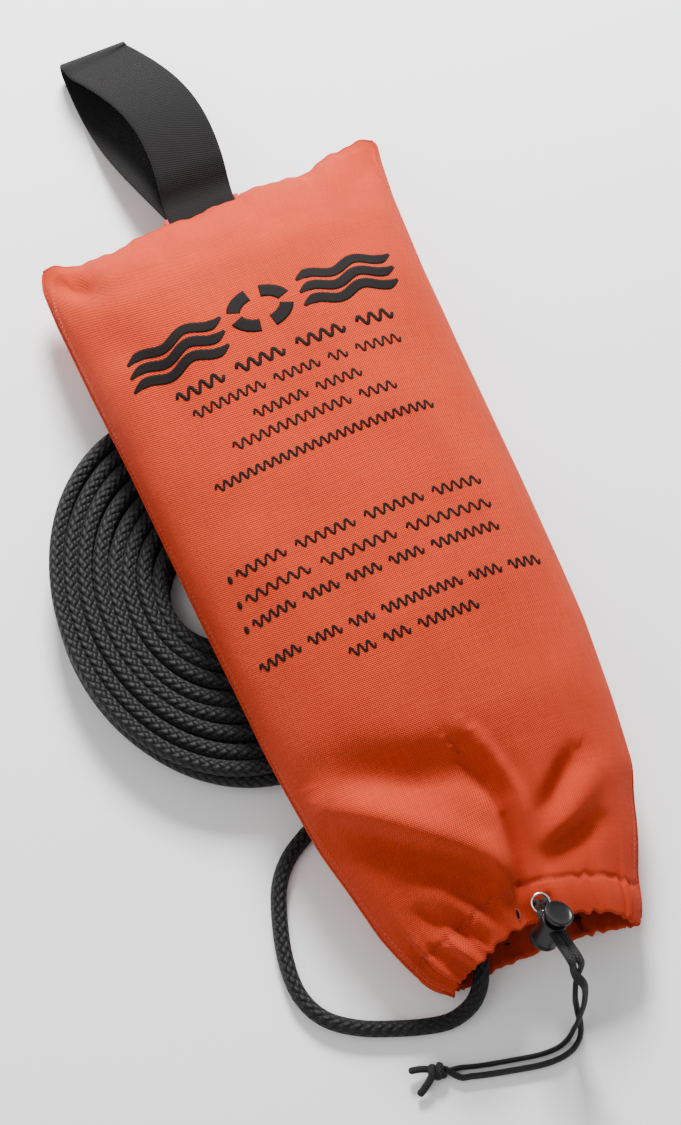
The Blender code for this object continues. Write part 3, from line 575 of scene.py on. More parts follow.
def lip_wave(angle):
    """How far the lip lies from its mean Y at each angle: further out at the corners and below."""
    turn = np.degrees(angle) % 360
    knots = ([0, 21, 38, 55, 70, 82, 90, 100, 107, 118, 140, 165, 180, 200, 225, 250, 270, 290, 310, 335,
              360],
             [-11, -12, -6, -1, 3, 8, 9, 7, 5, 0, -4, -7, -8, -5, -3, 1, 1, 0, -4, -9, -11])
    return np.mean([np.interp((turn + k) % 360, *knots) for k in np.linspace(-7, 7, 7)], axis=0) * MM


def end_wave(x):
    """The scalloped closed end: a rounded ear at each corner, a dip beside it and small puckers."""
    knots = ([-114, -108, -100, -90, -78, -57, -35, -6, 13, 39, 52, 62, 70, 82, 98, 106, 112, 118],
             [-3, 2, 1, -3, -4.5, -3, 0.5, 0, 1, 3, 0.5, -1.5, 1, 4.5, 7, 7, 5, 0])
    smooth = np.mean([np.interp(x / MM + k, *knots) for k in np.linspace(-3, 3, 5)], axis=0)
    return (smooth + 0.7 * np.sin(x / MM * 0.24 + 0.8) + 0.35 * np.sin(x / MM * 0.61)) * MM


def over_coil(x, y):
    """1 where the bag lies on the coil of line, falling to 0 beyond it."""
    e = np.hypot((x - COIL_C[0]) / (OUT_X + 9 * MM), (y - COIL_C[1]) / (OUT_Y + 9 * MM))
    return ease((1.42 - e) / 0.40)


OVER_COIL = coil_high[2] + 1.6 * MM


def body(angle, y):
    """A point of the bag without its folds.

    The angle is 0 at the right seam, 180 degrees at the left one over the top, and below 0 underneath.
    """
    m = near_mouth(y)
    c, s = np.cos(angle), np.sin(angle)
    row = y
    y = y + lip_wave(angle) * near_mouth(row, 0.075)
    right, left = edges(y)
    middle, half = (left + right) / 2, (right - left) / 2
    x = middle + half * power(c, FULLNESS)
    seam, top = fair(row, *SEAM), fair(row, *TOP, reach=5)
    closing = np.sqrt(np.clip((Y_CLOSED - row) / (9 * MM), 0, 1))
    gap = 0.6 * MM
    up = seam + gap * closing + (top - seam - gap) * closing * np.abs(s) ** (FULLNESS + 0.30 * m)
    depth = seam - gap
    press = 1.15 - 0.13 * m
    low = depth - press * depth * np.abs(s) ** (0.56 + 0.35 * m)
    low = np.maximum(low, 1.2 * MM * ease(np.abs(s) * 3))
    tail = np.clip((row - Y_CLOSED + 0.12) / 0.12, 0, 1)
    low = low + (seam - gap - low) * np.maximum(tail**2 * 0.92, 1 - closing)
    low = np.maximum(low, OVER_COIL * over_coil(x, y) * (1 - m))
    low = np.minimum(low, seam - gap * closing)
    y = y + end_wave(x) * ease((row - (Y_CLOSED - 0.045)) / 0.045)
    return np.stack([x, y, np.where(s >= 0, up, low)], axis=-1)


quarters = body(np.array([0, np.pi / 2, np.pi, -np.pi / 2]), np.zeros(4))
print("section at the middle, mm:", np.round(quarters / MM, 1).tolist())

# %% [markdown]
# Cloth that is drawn together has to go somewhere, so it folds. Each fold is a line across
# the cloth with a height (below zero for a hollow) and a width on either side, and it fades
# towards its ends. A point's displacement is the sum over the folds of height times
# exp(-(d/w)^2), where d is its distance from the line, with a narrower w on a fold's steep
# side. Gathers are waves in the angle round the mouth, strongest at the hem.
# %% Folds and gathers
FOLDS = [
    # height, width left of the line, width right of it, and points along the line, all in millimetres
    (-11.6, 17, 15, [(-84, -190), (-58, -199), (-38, -209), (-14, -217), (0, -232)]),
    (-10.8, 15, 5.0, [(-8, -212), (-2, -228), (1, -242), (1, -256), (-1, -270), (-5, -284), (-8, -298),
                      (-9, -312)]),
    (7.8, 4.5, 12, [(2, -200), (9, -224), (12, -244), (10, -260), (7, -275), (4, -292)]),
    (10.1, 12, 11, [(-88, -203), (-64, -223), (-45, -240), (-28, -255), (-14, -270), (-7, -290)]),
    (-10.8, 9, 12, [(-94, -214), (-73, -233), (-57, -249), (-40, -263), (-27, -277), (-20, -290)]),
    (-7.0, 8, 6, [(52, -230), (42, -238), (33, -246), (24, -254)]),
    (-7.0, 7, 6, [(48, -268), (38, -271), (28, -273), (18, -277)]),
    (4.7, 8, 8, [(60, -243), (46, -252), (32, -262), (18, -268)]),
    (4.5, 6, 6, [(-58, -268), (-44, -279), (-34, -291), (-27, -302)]),
    (-6.5, 3.5, 3.0, [(-1, -250), (-3, -266), (-6, -282), (-9, -298), (-10, -312)]),
    (4.0, 5, 5, [(-15, -258), (-16, -274), (-17, -290), (-20, -304)]),
    (-5.2, 4, 4, [(-44, -276), (-33, -288), (-25, -300), (-22, -308)]),
    (-4.5, 4, 4, [(-66, -277), (-50, -293), (-38, -306)]),
    (-3.9, 3, 3, [(-16, -278), (-15, -292), (-13, -306)]),
    (3.9, 5, 4, [(-68, -290), (-56, -301), (-46, -312)]),
    (-8.0, 9, 9, [(-106, 180), (-98, 168), (-90, 152)]),
    (-4.0, 12, 12, [(104, 180), (84, 160), (70, 142)]),
    (-3.2, 7, 7, [(66, 186), (62, 170), (60, 150)]),
    (-2.9, 9, 9, [(-40, 182), (-42, 165), (-46, 150)]),
    (-2.6, 14, 14, [(-98, 120), (-80, 90), (-72, 50)]),
    (-2.4, 16, 16, [(92, 60), (76, 10), (84, -50)]),
    (2.2, 20, 20, [(-86, -30), (-60, -80), (-72, -140)]),
]


def beside(x, y, line):
    """Distance from a line of points, above 0 on its left, and how far along it that is, 0 to 1."""
    line = np.array(line, float) * MM
    best = np.full(x.shape, 1e9)
    signed, along = np.zeros(x.shape), np.zeros(x.shape)
    run = run_along(line) / length_of(line)
    for k in range(len(line) - 1):
        ax, ay = line[k]
        dx, dy = line[k + 1] - line[k]
        t = np.clip(((x - ax) * dx + (y - ay) * dy) / (dx * dx + dy * dy), 0, 1)
        px, py = x - ax - t * dx, y - ay - t * dy
        d = np.hypot(px, py)
        near = d < best
        best = np.where(near, d, best)
        signed = np.where(near, np.sign(dx * py - dy * px) * d, signed)
        along = np.where(near, run[k] + t * (run[k + 1] - run[k]), along)
    return signed, along


def smooth_line(line, count=24):
    """The same line with its corners rounded, in millimetres."""
    p = np.column_stack([np.array(line, float), np.zeros(len(line))])
    return smooth_route(p * MM, length_of(p * MM) / count)[:, :2] / MM


def folds(x, y):
    """The sum of the folds' heights over the plan."""
    total = np.zeros(x.shape)
    for height, left, right, line in FOLDS:
        low, high = np.min(line, axis=0) * MM - 0.05, np.max(line, axis=0) * MM + 0.05
        near = (x > low[0]) & (x < high[0]) & (y > low[1]) & (y < high[1])
        d, along = beside(x[near], y[near], smooth_line(line))
        wide = np.where(d > 0, left, right) * MM
        fade = np.sqrt(np.sin(np.pi * np.clip(0.06 + 0.88 * along, 0, 1)))
        total[near] += height * MM * np.exp(-((d / wide) ** 2)) * fade
    return total


def gathers(angle, waves):
    """A sum of waves round the mouth, from -1 to 1 or so: (count, phase, share) each."""
    return sum(share * np.sin(count * angle + phase + 0.8 * np.sin(3 * angle + phase))
               for count, phase, share in waves)


COARSE = [(15, 0.4, 0.55), (22, 2.1, 0.45), (31, 4.0, 0.25)]
FINE = [(37, 1.1, 0.55), (46, 3.0, 0.45), (61, 5.2, 0.30)]
STITCH_ROW = Y_LIP + 0.0185


def worked(angle, y, point):
    """The height of the cloth's folds, gathers, casing and felled edge off the plain body."""
    up = np.sin(angle)
    inside_seams = ease(np.abs(up) / 0.30)
    front = ease(up / 0.05)
    total = folds(point[..., 0], point[..., 1]) * inside_seams * front
    above = np.maximum(y - STITCH_ROW, 0)
    reach = np.exp(-above / (17 * MM)) * ease((0.05 - above) / 0.05)
    left = 0.45 + 0.55 * ease((angle % (2 * np.pi) - 1.45) / 0.5)
    total += gathers(angle, COARSE) * 2.2 * MM * reach * left * inside_seams
    total += gathers(angle, FINE) * 0.75 * MM * np.exp(-above / (7 * MM)) * (0.35 + 0.65 * inside_seams)
    total += 1.1 * MM * np.sin(np.pi * np.clip((STITCH_ROW - y) / (STITCH_ROW - Y_LIP), 0, 1)) * inside_seams
    total -= 1.0 * MM * np.exp(-(((y - STITCH_ROW) / (1.4 * MM)) ** 2)) * inside_seams
    slow = np.sin(point[..., 0] * 47 + 1.3 * np.sin(point[..., 1] * 31)) * np.sin(point[..., 1] * 38 + 0.6)
    total += 0.7 * MM * slow * inside_seams
    felled = edge_distance(point, y)
    total += 0.75 * MM * ease((8.2 * MM - felled) / (1.2 * MM)) * ease((Y_CLOSED - 0.004 - y) / 0.01)
    total -= 0.35 * MM * np.exp(-(((felled - 6.9 * MM) / (0.6 * MM)) ** 2))
    return total


def edge_distance(point, y):
    """How far a point of the cloth is from the nearer side seam, straight across."""
    right, left = edges(point[..., 1])
    seam = fair(y, *SEAM)
    return np.minimum(np.hypot(point[..., 0] - right, point[..., 2] - seam),
                      np.hypot(point[..., 0] - left, point[..., 2] - seam))


def outward(angle, y):
    """The unit normal of the plain body, from its slopes round and along."""
    angle = np.where(np.abs(angle) > np.pi + 1e-9, (angle + np.pi) % (2 * np.pi) - np.pi, angle)
    a = np.where(np.sin(angle) >= 0, np.clip(angle, 0.02, np.pi - 0.02), np.clip(angle, -np.pi + 0.02, -0.02))
    y = np.clip(y, Y_LIP, Y_CLOSED - 0.0012)
    da = body(a + 1e-3, y) - body(a - 1e-3, y)
    dy = body(a, y + 4e-4) - body(a, y - 4e-4)
    return unit(np.cross(dy, da))


def cloth(angle, y, lift=0.0):
    """A point of the finished cloth, lifted off it by lift metres."""
    angle, y = np.broadcast_arrays(angle, y)
    point = body(angle, y)
    n = outward(angle, y)
    tuck = ease((Y_CLOSED - y) / (6 * MM))
    made = point + n * (worked(angle, y, point) * tuck + lift)[..., None]
    made[..., 1] += 1.1 * MM * gathers(angle, FINE) * near_mouth(y, 0.012)
    made[..., 2] = np.maximum(made[..., 2], LOWEST)
    return made


print("folds", len(FOLDS))

# %% [markdown]
# Each half of the bag is a grid over that surface, with rows close together at the mouth
# and the closed end, where the cloth bends most. At the lip the grid rolls over and runs
# back inside as far as the stitching, which makes the casing that the drawcord runs in. A
# Solidify modifier then gives the cloth its thickness, and its inner face takes a darker copy
# of the cloth, which is painted shade for the inside of the bag.
# %% Front and back of the bag
ROWS = np.r_[np.linspace(Y_CLOSED, Y_CLOSED - 0.05, 36)[:-1],
             np.linspace(Y_CLOSED - 0.05, -0.170, 108)[:-1], np.linspace(-0.170, Y_LIP, 118)]
ROLL = 2.1 * MM


def half(name, first, last, columns):
    """One half of the bag's cloth between its side seams, from the closed end over the lip and back inside.

    The roll at the lip is a half circle: lip - N r (1 - cos f) + T r sin f, with N the outward normal and T
    along the bag.
    """
    angles = np.linspace(first, last, columns)
    outer = cloth(angles[None], ROWS[:, None])
    n = outward(angles, np.full(columns, Y_LIP))
    f = np.linspace(0, np.pi, 8)[1:, None, None]
    lip = outer[-1]
    roll = lip - n * ROLL * (1 - np.cos(f)) + np.array([0, -1.0, 0]) * ROLL * np.sin(f)
    back = np.linspace(Y_LIP, STITCH_ROW, 14)[1:]
    inner = cloth(angles[None], back[:, None], -2 * ROLL)
    points = np.concatenate([outer, roll, inner])
    points[..., 2] = np.maximum(points[..., 2], LOWEST)
    along, across = run_along(points[:, columns // 2]), run_along(cloth(angles, np.full(columns, 0.0)))
    made = skin(name, points, CLOTH, flat=np.meshgrid(across, along), inside_out=last < first)
    # The second slot is the darker copy for the inner face, painted shade inside the bag.
    made.data.materials.append(INSIDE_SHADE_CLOTH)
    shell = made.modifiers.new("cloth", "SOLIDIFY")
    shell.thickness, shell.offset = 1.1 * MM, -1
    shell.material_offset = 1
    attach(made, "bag")
    print(name, len(points), "rows of", columns, "flat size", round(across[-1], 3), "x", round(along[-1], 3))
    return made


front = half("front_cloth", 0.0, np.pi, 172)
back = half("back_cloth", -1e-6, 1e-6 - np.pi, 150)
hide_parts("front_panel", "front_hem", "end_seam")
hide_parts("back_panel", "back_hem")

# %% [markdown]
# Where the two halves meet, the cloth is felled: folded over itself and sewn down twice,
# which leaves a raised strip with two rows of thread. The fold itself is a narrow tube of
# cloth along each side. The closed end is sewn inside out and turned, so only a fine bead
# shows.
# %% Seams

seam_rows = np.linspace(Y_CLOSED - 1.5 * MM, Y_LIP + 0.5 * MM, 150)
for name, angle, nudge in (("left", np.pi, -0.2), ("right", 0.0, 0.2)):
    upper = cloth(np.full(150, angle), seam_rows)
    lower = cloth(np.full(150, -angle + (2e-6 if angle else -2e-6)), seam_rows)
    path = (upper + lower) / 2 + np.array([nudge * MM, 0, 0])
    seam = tube(f"side_fold_{name}", path, (1.5 * MM, 1.1 * MM), CLOTH, sides=12, girth=8 * MM)
    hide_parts(f"side_seam_{name}")
    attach(seam, "bag")
end_line = cloth(np.linspace(0.0, np.pi, 140), np.full(140, Y_CLOSED)) + np.array([0, -0.5, 0]) * MM
bead = tube("end_fold", end_line, (1.0 * MM, 0.8 * MM), CLOTH, sides=10, girth=6 * MM)
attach(bead, "bag")
print("seams along", round(length_of(end_line), 3), "m of closed end")

# %% [markdown]
# A row of stitching is the same short stitch hundreds of times, so it is worked out once
# and placed with arrays: each stitch is a lens of thread whose ends dive into the cloth.
# Its centre, direction and way out of the cloth come from the row's path.
# %% Rows of stitching
STITCH_T = np.array([-0.5, -0.30, 0.0, 0.30, 0.5])
STITCH_R = np.array([0.45, 0.92, 1.0, 0.92, 0.45])
# pitch, length and thickness of one stitch
SEAM_STITCH = (3.1 * MM, 2.5 * MM, 0.33 * MM)
HEM_STITCH = (2.9 * MM, 2.3 * MM, 0.33 * MM)
END_STITCH = (3.1 * MM, 2.5 * MM, 0.30 * MM)
HOLE_STITCH = (0.75 * MM, 1.1 * MM, 0.42 * MM)
SEAM_ROWS = (6.9 * MM, 2.6 * MM)


def stitches(name, path, out, size, sides=6):
    """Stitches every pitch metres along a path.

    A point of a stitch is c + d t long + thick r(t) (s cos a + o sin a) - o sink(t), with d along the row,
    o out of the cloth, s = d x o, and sink growing from the middle to the ends.
    """
    pitch, long, thick = size
    run = run_along(path)
    at = np.arange(pitch / 2, run[-1], pitch)

    def read(values):
        return np.stack([np.interp(at, run, values[:, k]) for k in range(3)], axis=1)
    centre, d = read(path), unit(read(np.gradient(path, run, axis=0)))
    o = square_to(read(out), d)
    s = np.cross(d, o)
    a = np.linspace(0, 2 * np.pi, sides, endpoint=False)[:, None]
    ring = s[:, None, None] * np.cos(a) + o[:, None, None] * np.sin(a)
    points = (centre[:, None, None] + d[:, None, None] * (STITCH_T * long)[None, :, None, None]
              + ring * (thick * STITCH_R)[None, :, None, None]
              - o[:, None, None] * (thick * 1.6 * (2 * STITCH_T) ** 2)[None, :, None, None])
    count, rings = len(at), len(STITCH_T)
    shift = rings * sides * np.arange(count)[:, None, None]
    i, j = np.meshgrid(np.arange(rings - 1), np.arange(sides), indexing="ij")
    i, j = i.ravel(), j.ravel()
    here, there = i * sides, (i + 1) * sides
    one = np.stack([here + j, there + j, there + (j + 1) % sides, here + (j + 1) % sides], axis=1)
    caps = np.stack([np.arange(sides), (rings - 1) * sides + np.arange(sides)[::-1]])
    faces = (one[None] + shift).reshape(-1, 4).tolist() + (caps[None] + shift).reshape(-1, sides).tolist()
    made = mesh_piece(name, points, faces, THREAD)
    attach(made, "bag")
    print(name, count, "stitches")
    return made


def sewn(name, angle, row, lift, size):
    """A row of stitches over the cloth, through the places (angle, row) and lifted a little."""
    return stitches(name, cloth(angle, row, lift), outward(angle, row), size)


def joined(name, parts):
    """Several meshes made one object."""
    work = bmesh.new()
    for part in parts:
        work.from_mesh(part.data)
    data = parts[0].data.copy()
    work.to_mesh(data)
    work.free()
    made = bpy.data.objects.new(name, data)
    bpy.context.scene.collection.objects.link(made)
    for part in parts:
        bpy.data.objects.remove(part, do_unlink=True)
    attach(made, "bag")
    return made


def angle_from_edge(rows, distance, side, under):
    """At each row, the angle at which the cloth is this far from the side seam."""
    theta = np.linspace(0.004, 1.3, 160)
    angle = theta if side > 0 else np.pi - theta
    angle = -angle if under else angle
    point = body(angle[None], rows[:, None])
    right, left = edges(point[..., 1])
    away = np.hypot(point[..., 0] - (right if side > 0 else left), point[..., 2] - fair(rows, *SEAM)[:, None])
    steps = np.arange(len(theta))
    share = np.array([np.interp(distance, np.maximum.accumulate(a), steps) for a in away])
    return np.interp(share, steps, angle)


rows = np.linspace(Y_CLOSED - 0.014, Y_LIP + 0.004, 190)
for name, side in (("left", -1), ("right", 1)):
    parts = []
    for under in (False, True):
        for distance in SEAM_ROWS:
            angle = angle_from_edge(rows, distance, side, under)
            parts.append(sewn("row", angle, rows, 0.12 * MM, SEAM_STITCH))
    made = joined(f"side_thread_{name}", parts)
    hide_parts(f"side_stitch_{name}")
for name, turn in (("front", 1), ("back", -1)):
    angle = np.linspace(turn * 0.05, turn * (np.pi - 0.05), 500)
    made = sewn(f"hem_thread_{name}", angle, np.full(500, STITCH_ROW), 0.15 * MM, HEM_STITCH)
    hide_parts(f"{name}_hem_stitch")
angle = np.linspace(-0.12, -np.pi + 0.12, 300)
made = sewn("end_thread", angle, np.full(300, Y_CLOSED - 2.6 * MM), 0.1 * MM, END_STITCH)
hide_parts("end_stitch")

# %% [markdown]
# The handle is one length of 44 mm webbing, doubled, with both ends sewn into the closed
# end. The lower run falls to the floor, the fold turns over at the far end, and the upper
# run arches back above it and a little to the right, so that a dark gap shows between
# them. Its root is at the handle's hinge, where it leaves the bag.
# %% Handle
WEB_W, WEB_T = 44.0 * MM, 2.0 * MM
hinge = next(j for j in frame["record"]["behaviour"]["joints"] if j["name"] == "handle_fold")["pos_m"]
ROOT_X, HINGE_Y, HINGE_Z = hinge
FOLD_Y = float(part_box("handle_loop")[1][1])


def handle_line():
    """Centre of the webbing from one sewn end to the other.

    With t from 0 at the hinge to 1 at the fold, x leans to the left by 18.5 mm t. The lower run also bows
    left by 7 sin(pi t), the upper one right by 12 sin(pi t) and up by 16 sin(pi t^0.9).
    """
    bend = 8.5 * MM
    far = FOLD_Y - bend - WEB_T / 2
    y = np.linspace(0.184, far, 70)
    t = np.clip((y - 0.196) / (far - 0.196), 0, 1)
    stack = 1.15 * MM
    low_z = (HINGE_Z - stack) + (WEB_T / 2 + 1.3 * MM - HINGE_Z + stack) * ease(t * 1.05)
    lean = 18.5 * MM * t
    lower = np.stack([ROOT_X - lean - 7 * MM * np.sin(np.pi * t), y, low_z], axis=1)
    top_z = low_z[-1] + 2 * bend
    arch = 16 * MM * np.sin(np.pi * t**0.9) * ease(t * 6)
    high_z = (HINGE_Z + stack) + (top_z - HINGE_Z - stack) * t + arch
    upper = np.stack([ROOT_X - lean + 12 * MM * np.sin(np.pi * t), y, high_z], axis=1)
    a = np.linspace(-np.pi / 2, np.pi / 2, 15)[1:-1]
    fold = np.stack([np.full(13, lower[-1, 0]), far + bend * np.cos(a), low_z[-1] + bend + bend * np.sin(a)],
                    axis=1)
    return np.vstack([lower, fold, upper[::-1]])


def ribbon(name, centre, wide, thick, look, across=(1, 0, 0)):
    """Webbing along a path: a flat oblong, wide across and thick through, with half-round edges."""
    ahead = unit(np.gradient(centre, axis=0))
    side = square_to(np.tile(np.asarray(across, float), (len(centre), 1)), ahead)
    out = np.cross(ahead, side)
    half, edge = wide / 2, thick / 2
    flat_x = np.linspace(-(half - edge), half - edge, 15)
    bend = np.linspace(np.pi / 2, -np.pi / 2, 5)[1:-1]
    x = np.r_[flat_x, half - edge + edge * np.cos(bend), flat_x[::-1], -(half - edge) - edge * np.cos(bend)]
    z = np.r_[np.full(15, edge), edge * np.sin(bend), np.full(15, -edge), -edge * np.sin(bend)]
    rings = centre[:, None] + side[:, None] * x[None, :, None] + out[:, None] * z[None, :, None]
    flat = np.meshgrid(np.r_[x, x[0]], run_along(centre))
    return skin(name, rings, look, round_cols=True, flat=flat, ends=True, inside_out=True)


handle_path = smooth_route(handle_line()[::3], 2.0 * MM)
handle = ribbon("handle_webbing", handle_path, WEB_W, WEB_T, WEBBING)
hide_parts("handle_loop", "handle_tab")
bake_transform(handle)
print("handle webbing", round(length_of(handle_path), 3), "m")

# %% Tacks at the handle's root
for name, x in (("left", ROOT_X - WEB_W / 2 - 1.2 * MM), ("right", ROOT_X + WEB_W / 2 + 1.2 * MM)):
    zig = np.linspace(0, 1, 40)
    y0 = Y_CLOSED + float(end_wave(np.array([x]))[0])
    path = np.stack([x + 1.6 * MM * np.sin(zig * 2 * np.pi * 5), y0 - 1.0 * MM + 3.4 * MM * zig,
                     HINGE_Z + 1.2 * MM + 0 * zig], axis=1)
    tack = tube(f"handle_tack_{name}", path, (0.42 * MM, 0.42 * MM), THREAD, sides=6)
    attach(tack, "bag")

# %% [markdown]
# The cord lock is two turned pieces of moulded plastic: a barrel with a flared foot, and a
# plunger with a wide dished head. A turned piece is a profile of radius and height carried
# round an axis, and a slot through each, cut with a Boolean, lets the cord pass. The spring
# is a helix of wire between the barrel's floor and the plunger's foot.
# %% Cord lock
def on_axis(points):
    """Millimetres about the lock's own axis, placed at the cord slot in the room."""
    p = np.asarray(points) * MM
    return SLOT + p[..., :1] * CORD_WAY + p[..., 1:2] * np.cross(AXIS, CORD_WAY) + p[..., 2:3] * AXIS


def rounded(profile, turns=2):
    """A profile with its corners cut twice: each pass puts points at 0.22 and 0.78 of every side."""
    p = np.array(profile, float)
    for _ in range(turns):
        cut = np.stack([0.78 * p[:-1] + 0.22 * p[1:], 0.22 * p[:-1] + 0.78 * p[1:]], axis=1).reshape(-1, 2)
        p = np.vstack([p[:1], cut, p[-1:]])
    return p


def lathe(profile, steps=56):
    a = np.linspace(0, 2 * np.pi, steps, endpoint=False)
    r, z = np.array(profile, float).T
    return np.stack([r[:, None] * np.cos(a), r[:, None] * np.sin(a), z[:, None] + 0 * a], axis=-1)


def slotted(made, low, high):
    """Cuts the cord's slot through a piece, between two heights on its axis, into its own mesh."""
    x, y, z = np.meshgrid([-20, 20], [-4.4, 4.4], [low, high], indexing="ij")
    corners = on_axis(np.stack([x, y, z], axis=-1).reshape(-1, 3))
    faces = [(0, 1, 3, 2), (4, 6, 7, 5), (0, 4, 5, 1), (2, 3, 7, 6), (0, 2, 6, 4), (1, 5, 7, 3)]
    data = bpy.data.meshes.new("slot_cutter")
    data.from_pydata(corners.tolist(), [], faces)
    cutter = bpy.data.objects.new("slot_cutter", data)
    bpy.context.scene.collection.objects.link(cutter)
    work = bmesh.new()
    work.from_mesh(data)
    bmesh.ops.recalc_face_normals(work, faces=work.faces)
    work.to_mesh(data)
    work.free()
    cut = made.modifiers.new("slot", "BOOLEAN")
    cut.object, cut.operation, cut.solver = cutter, "DIFFERENCE", "EXACT"
    seen = made.evaluated_get(bpy.context.evaluated_depsgraph_get())
    made.data = bpy.data.meshes.new_from_object(seen)
    made.modifiers.clear()
    bpy.data.objects.remove(cutter, do_unlink=True)
    made.data.set_sharp_from_angle(angle=math.radians(32))


barrel_profile = rounded([
    (0.5, -14.35), (7.6, -14.35), (8.3, -14.2), (8.35, -13.0), (7.7, -12.2), (7.4, -10.5), (7.4, 3.2),
    (7.35, 4.1), (6.6, 4.2), (5.7, 4.15), (5.6, 3.4), (5.6, -12.4), (5.2, -12.87), (0.5, -12.87)])
barrel = skin("lock_barrel_turned", on_axis(lathe(barrel_profile)), PLASTIC, round_cols=True, ends=True)
slotted(barrel, -2.3, 2.3)
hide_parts("lock_barrel")
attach(barrel, "lock")
head_profile = rounded([
    (0.5, -4.7), (5.0, -4.7), (5.3, -4.4), (5.3, 8.6), (5.6, 8.75), (8.1, 8.75), (8.5, 9.0), (8.5, 10.9),
    (8.2, 11.3), (7.5, 11.3), (7.0, 11.15), (6.3, 10.75), (4.0, 10.45), (0.5, 10.35)])
button = skin("lock_plunger_turned", on_axis(lathe(head_profile)), PLASTIC, round_cols=True, ends=True)
slotted(button, -2.3, 6.3)
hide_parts("lock_button")
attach(button, "button")
turn = np.linspace(0, 2 * np.pi * 3.25, 110)
wire = np.stack([4.3 * np.cos(turn), 4.3 * np.sin(turn), np.linspace(-12.2, -5.3, len(turn))], axis=1)
spring = tube("lock_spring_wire", on_axis(wire), (0.4 * MM, 0.4 * MM), STEEL, sides=8)
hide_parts("lock_spring")
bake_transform(spring)
print("lock", len(barrel.data.polygons), "and", len(button.data.polygons), "faces")

# %% [markdown]
# The drawcord comes out of the casing through a small metal eyelet on the front, and both
# of its ends run into the lock. Inside, it goes right round the mouth in the casing. One
# buttonhole left of the lock shows where the casing was turned; its opening is a flat dark
# oval in the black ink, which is painted shade for the hole.
# %% Eyelet, buttonhole and drawcord in the casing
GROMMET_AT = np.array([-0.6, -299.0, 50.2]) * MM
tilt = math.atan(4.5 / 22)
ring = lathe([(5.5, -1.1), (5.3, -0.3), (5.45, 0.7), (5.9, 1.15), (6.5, 1.15), (7.1, 0.7), (7.3, 0.1),
              (7.0, -0.1), (6.1, -0.1), (5.9, -1.1)], 48) * 0.8 * MM
turned_ring = np.stack([ring[..., 0], ring[..., 1] * math.cos(tilt) - ring[..., 2] * math.sin(tilt),
                        ring[..., 1] * math.sin(tilt) + ring[..., 2] * math.cos(tilt)], axis=-1)
eyelet = skin("eyelet", GROMMET_AT + turned_ring, STEEL, round_rows=True, round_cols=True, inside_out=True)
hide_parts("grommet")
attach(eyelet, "bag")

casing_row = Y_LIP + 9 * MM
start_angle, stop_angle = 1.20, 1.86
casing = cloth(np.linspace(start_angle, stop_angle - 2 * np.pi, 440), np.full(440, casing_row), -1.2 * ROLL)
casing[:, 2] = np.maximum(casing[:, 2], 2.2 * MM)


def strand(side):
    """From the lock back to the eyelet and down into the casing."""
    spread = SIDE_WAY * side * 2.1 * MM
    mid = GROMMET_AT + np.array([side * 2.1, -0.4, 0]) * MM
    return np.array([INSIDE + spread, INSIDE + spread - CORD_WAY * 2.2 * MM,
                     mid + np.array([0, -1.2, 4.4]) * MM, mid + np.array([0, 1.4, 0.8]) * MM,
                     mid + np.array([side * 1.5, 1.8, -5.0]) * MM,
                     mid + np.array([side * 5.0, 1.5, -11.5 + side * 2.5]) * MM])


under_crease = GROMMET_AT + np.array([[-30, 1.5, -15], [-18, 1.5, -16]]) * MM
casing_path = smooth_route(np.vstack([strand(1), casing, under_crease, strand(-1)[::-1]]), 1.1 * MM)
run = np.arange(len(casing_path)) * 1.1 * MM
hidden = ease((run - 9 * MM) / (4 * MM)) * ease((run[::-1] - 9 * MM) / (4 * MM))
casing_cord = tube("casing_braid", casing_path, (1.0 * MM, 1.7 * MM), CORD, sides=12, swell=1 - 0.45 * hidden)
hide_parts("drawcord_in_hem")
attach(casing_cord, "bag")

hole_angle, hole_row = np.array([1.62]), np.array([Y_LIP + 5.5 * MM])
centre, n = cloth(hole_angle, hole_row, 0.25 * MM)[0], outward(hole_angle, hole_row)[0]
long_way = square_to(np.array([0.15, 0.95, 0.0]), n)
wide_way = np.cross(n, long_way)
a = np.linspace(0, 2 * np.pi, 41)[:, None]
edge = centre + np.cos(a) * long_way * 3.1 * MM + np.sin(a) * wide_way * 1.4 * MM
stitches("buttonhole_thread", edge, np.tile(n, (41, 1)), HOLE_STITCH)
# The hole itself is a flat near-black oval on the cloth, in the print's ink: painted shade inside the
# buttonhole.
hole_shade_disc = lathe([(0.05, 0.12), (1.0, 0.12), (1.0, -0.3), (0.05, -0.3)], 24) * (1.2 * MM, 2.8 * MM, MM)
dark = skin("buttonhole_painted_shade", centre + hole_shade_disc @ np.stack([wide_way, long_way, n]), INK_AND_HOLE_SHADE, round_cols=True,
            ends=True)
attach(dark, "bag")

# %% [markdown]
# The rest of the line is packed in the bag. It is wound in two long coils, one inside the
# other, that fill the cloth, and this is what shows through the mouth. It is a little over
# two metres short of a real one, because a line stuffed by hand packs tighter than coils.
# %% Stowed line
def packed(width, height, turns, first, last, backwards=False):
    """A coil round the bag's long axis: ellipses width by height, carried evenly from first to last."""
    t = np.linspace(0, 1, turns * 26)
    t = t[::-1] if backwards else t
    a = 2 * np.pi * turns * t
    taper = 1 - 0.35 * np.abs(2 * t - 1) ** 5
    y = first + (last - first) * t
    x = -5 * MM + width * taper * np.cos(a) + 1.5 * MM * np.sin(2.7 * a)
    z = 58 * MM - 6 * MM * ease((-0.12 - y) / 0.10) + height * taper * np.sin(a)
    return np.stack([x, y + 3 * MM * np.sin(1.3 * a), z], axis=1)


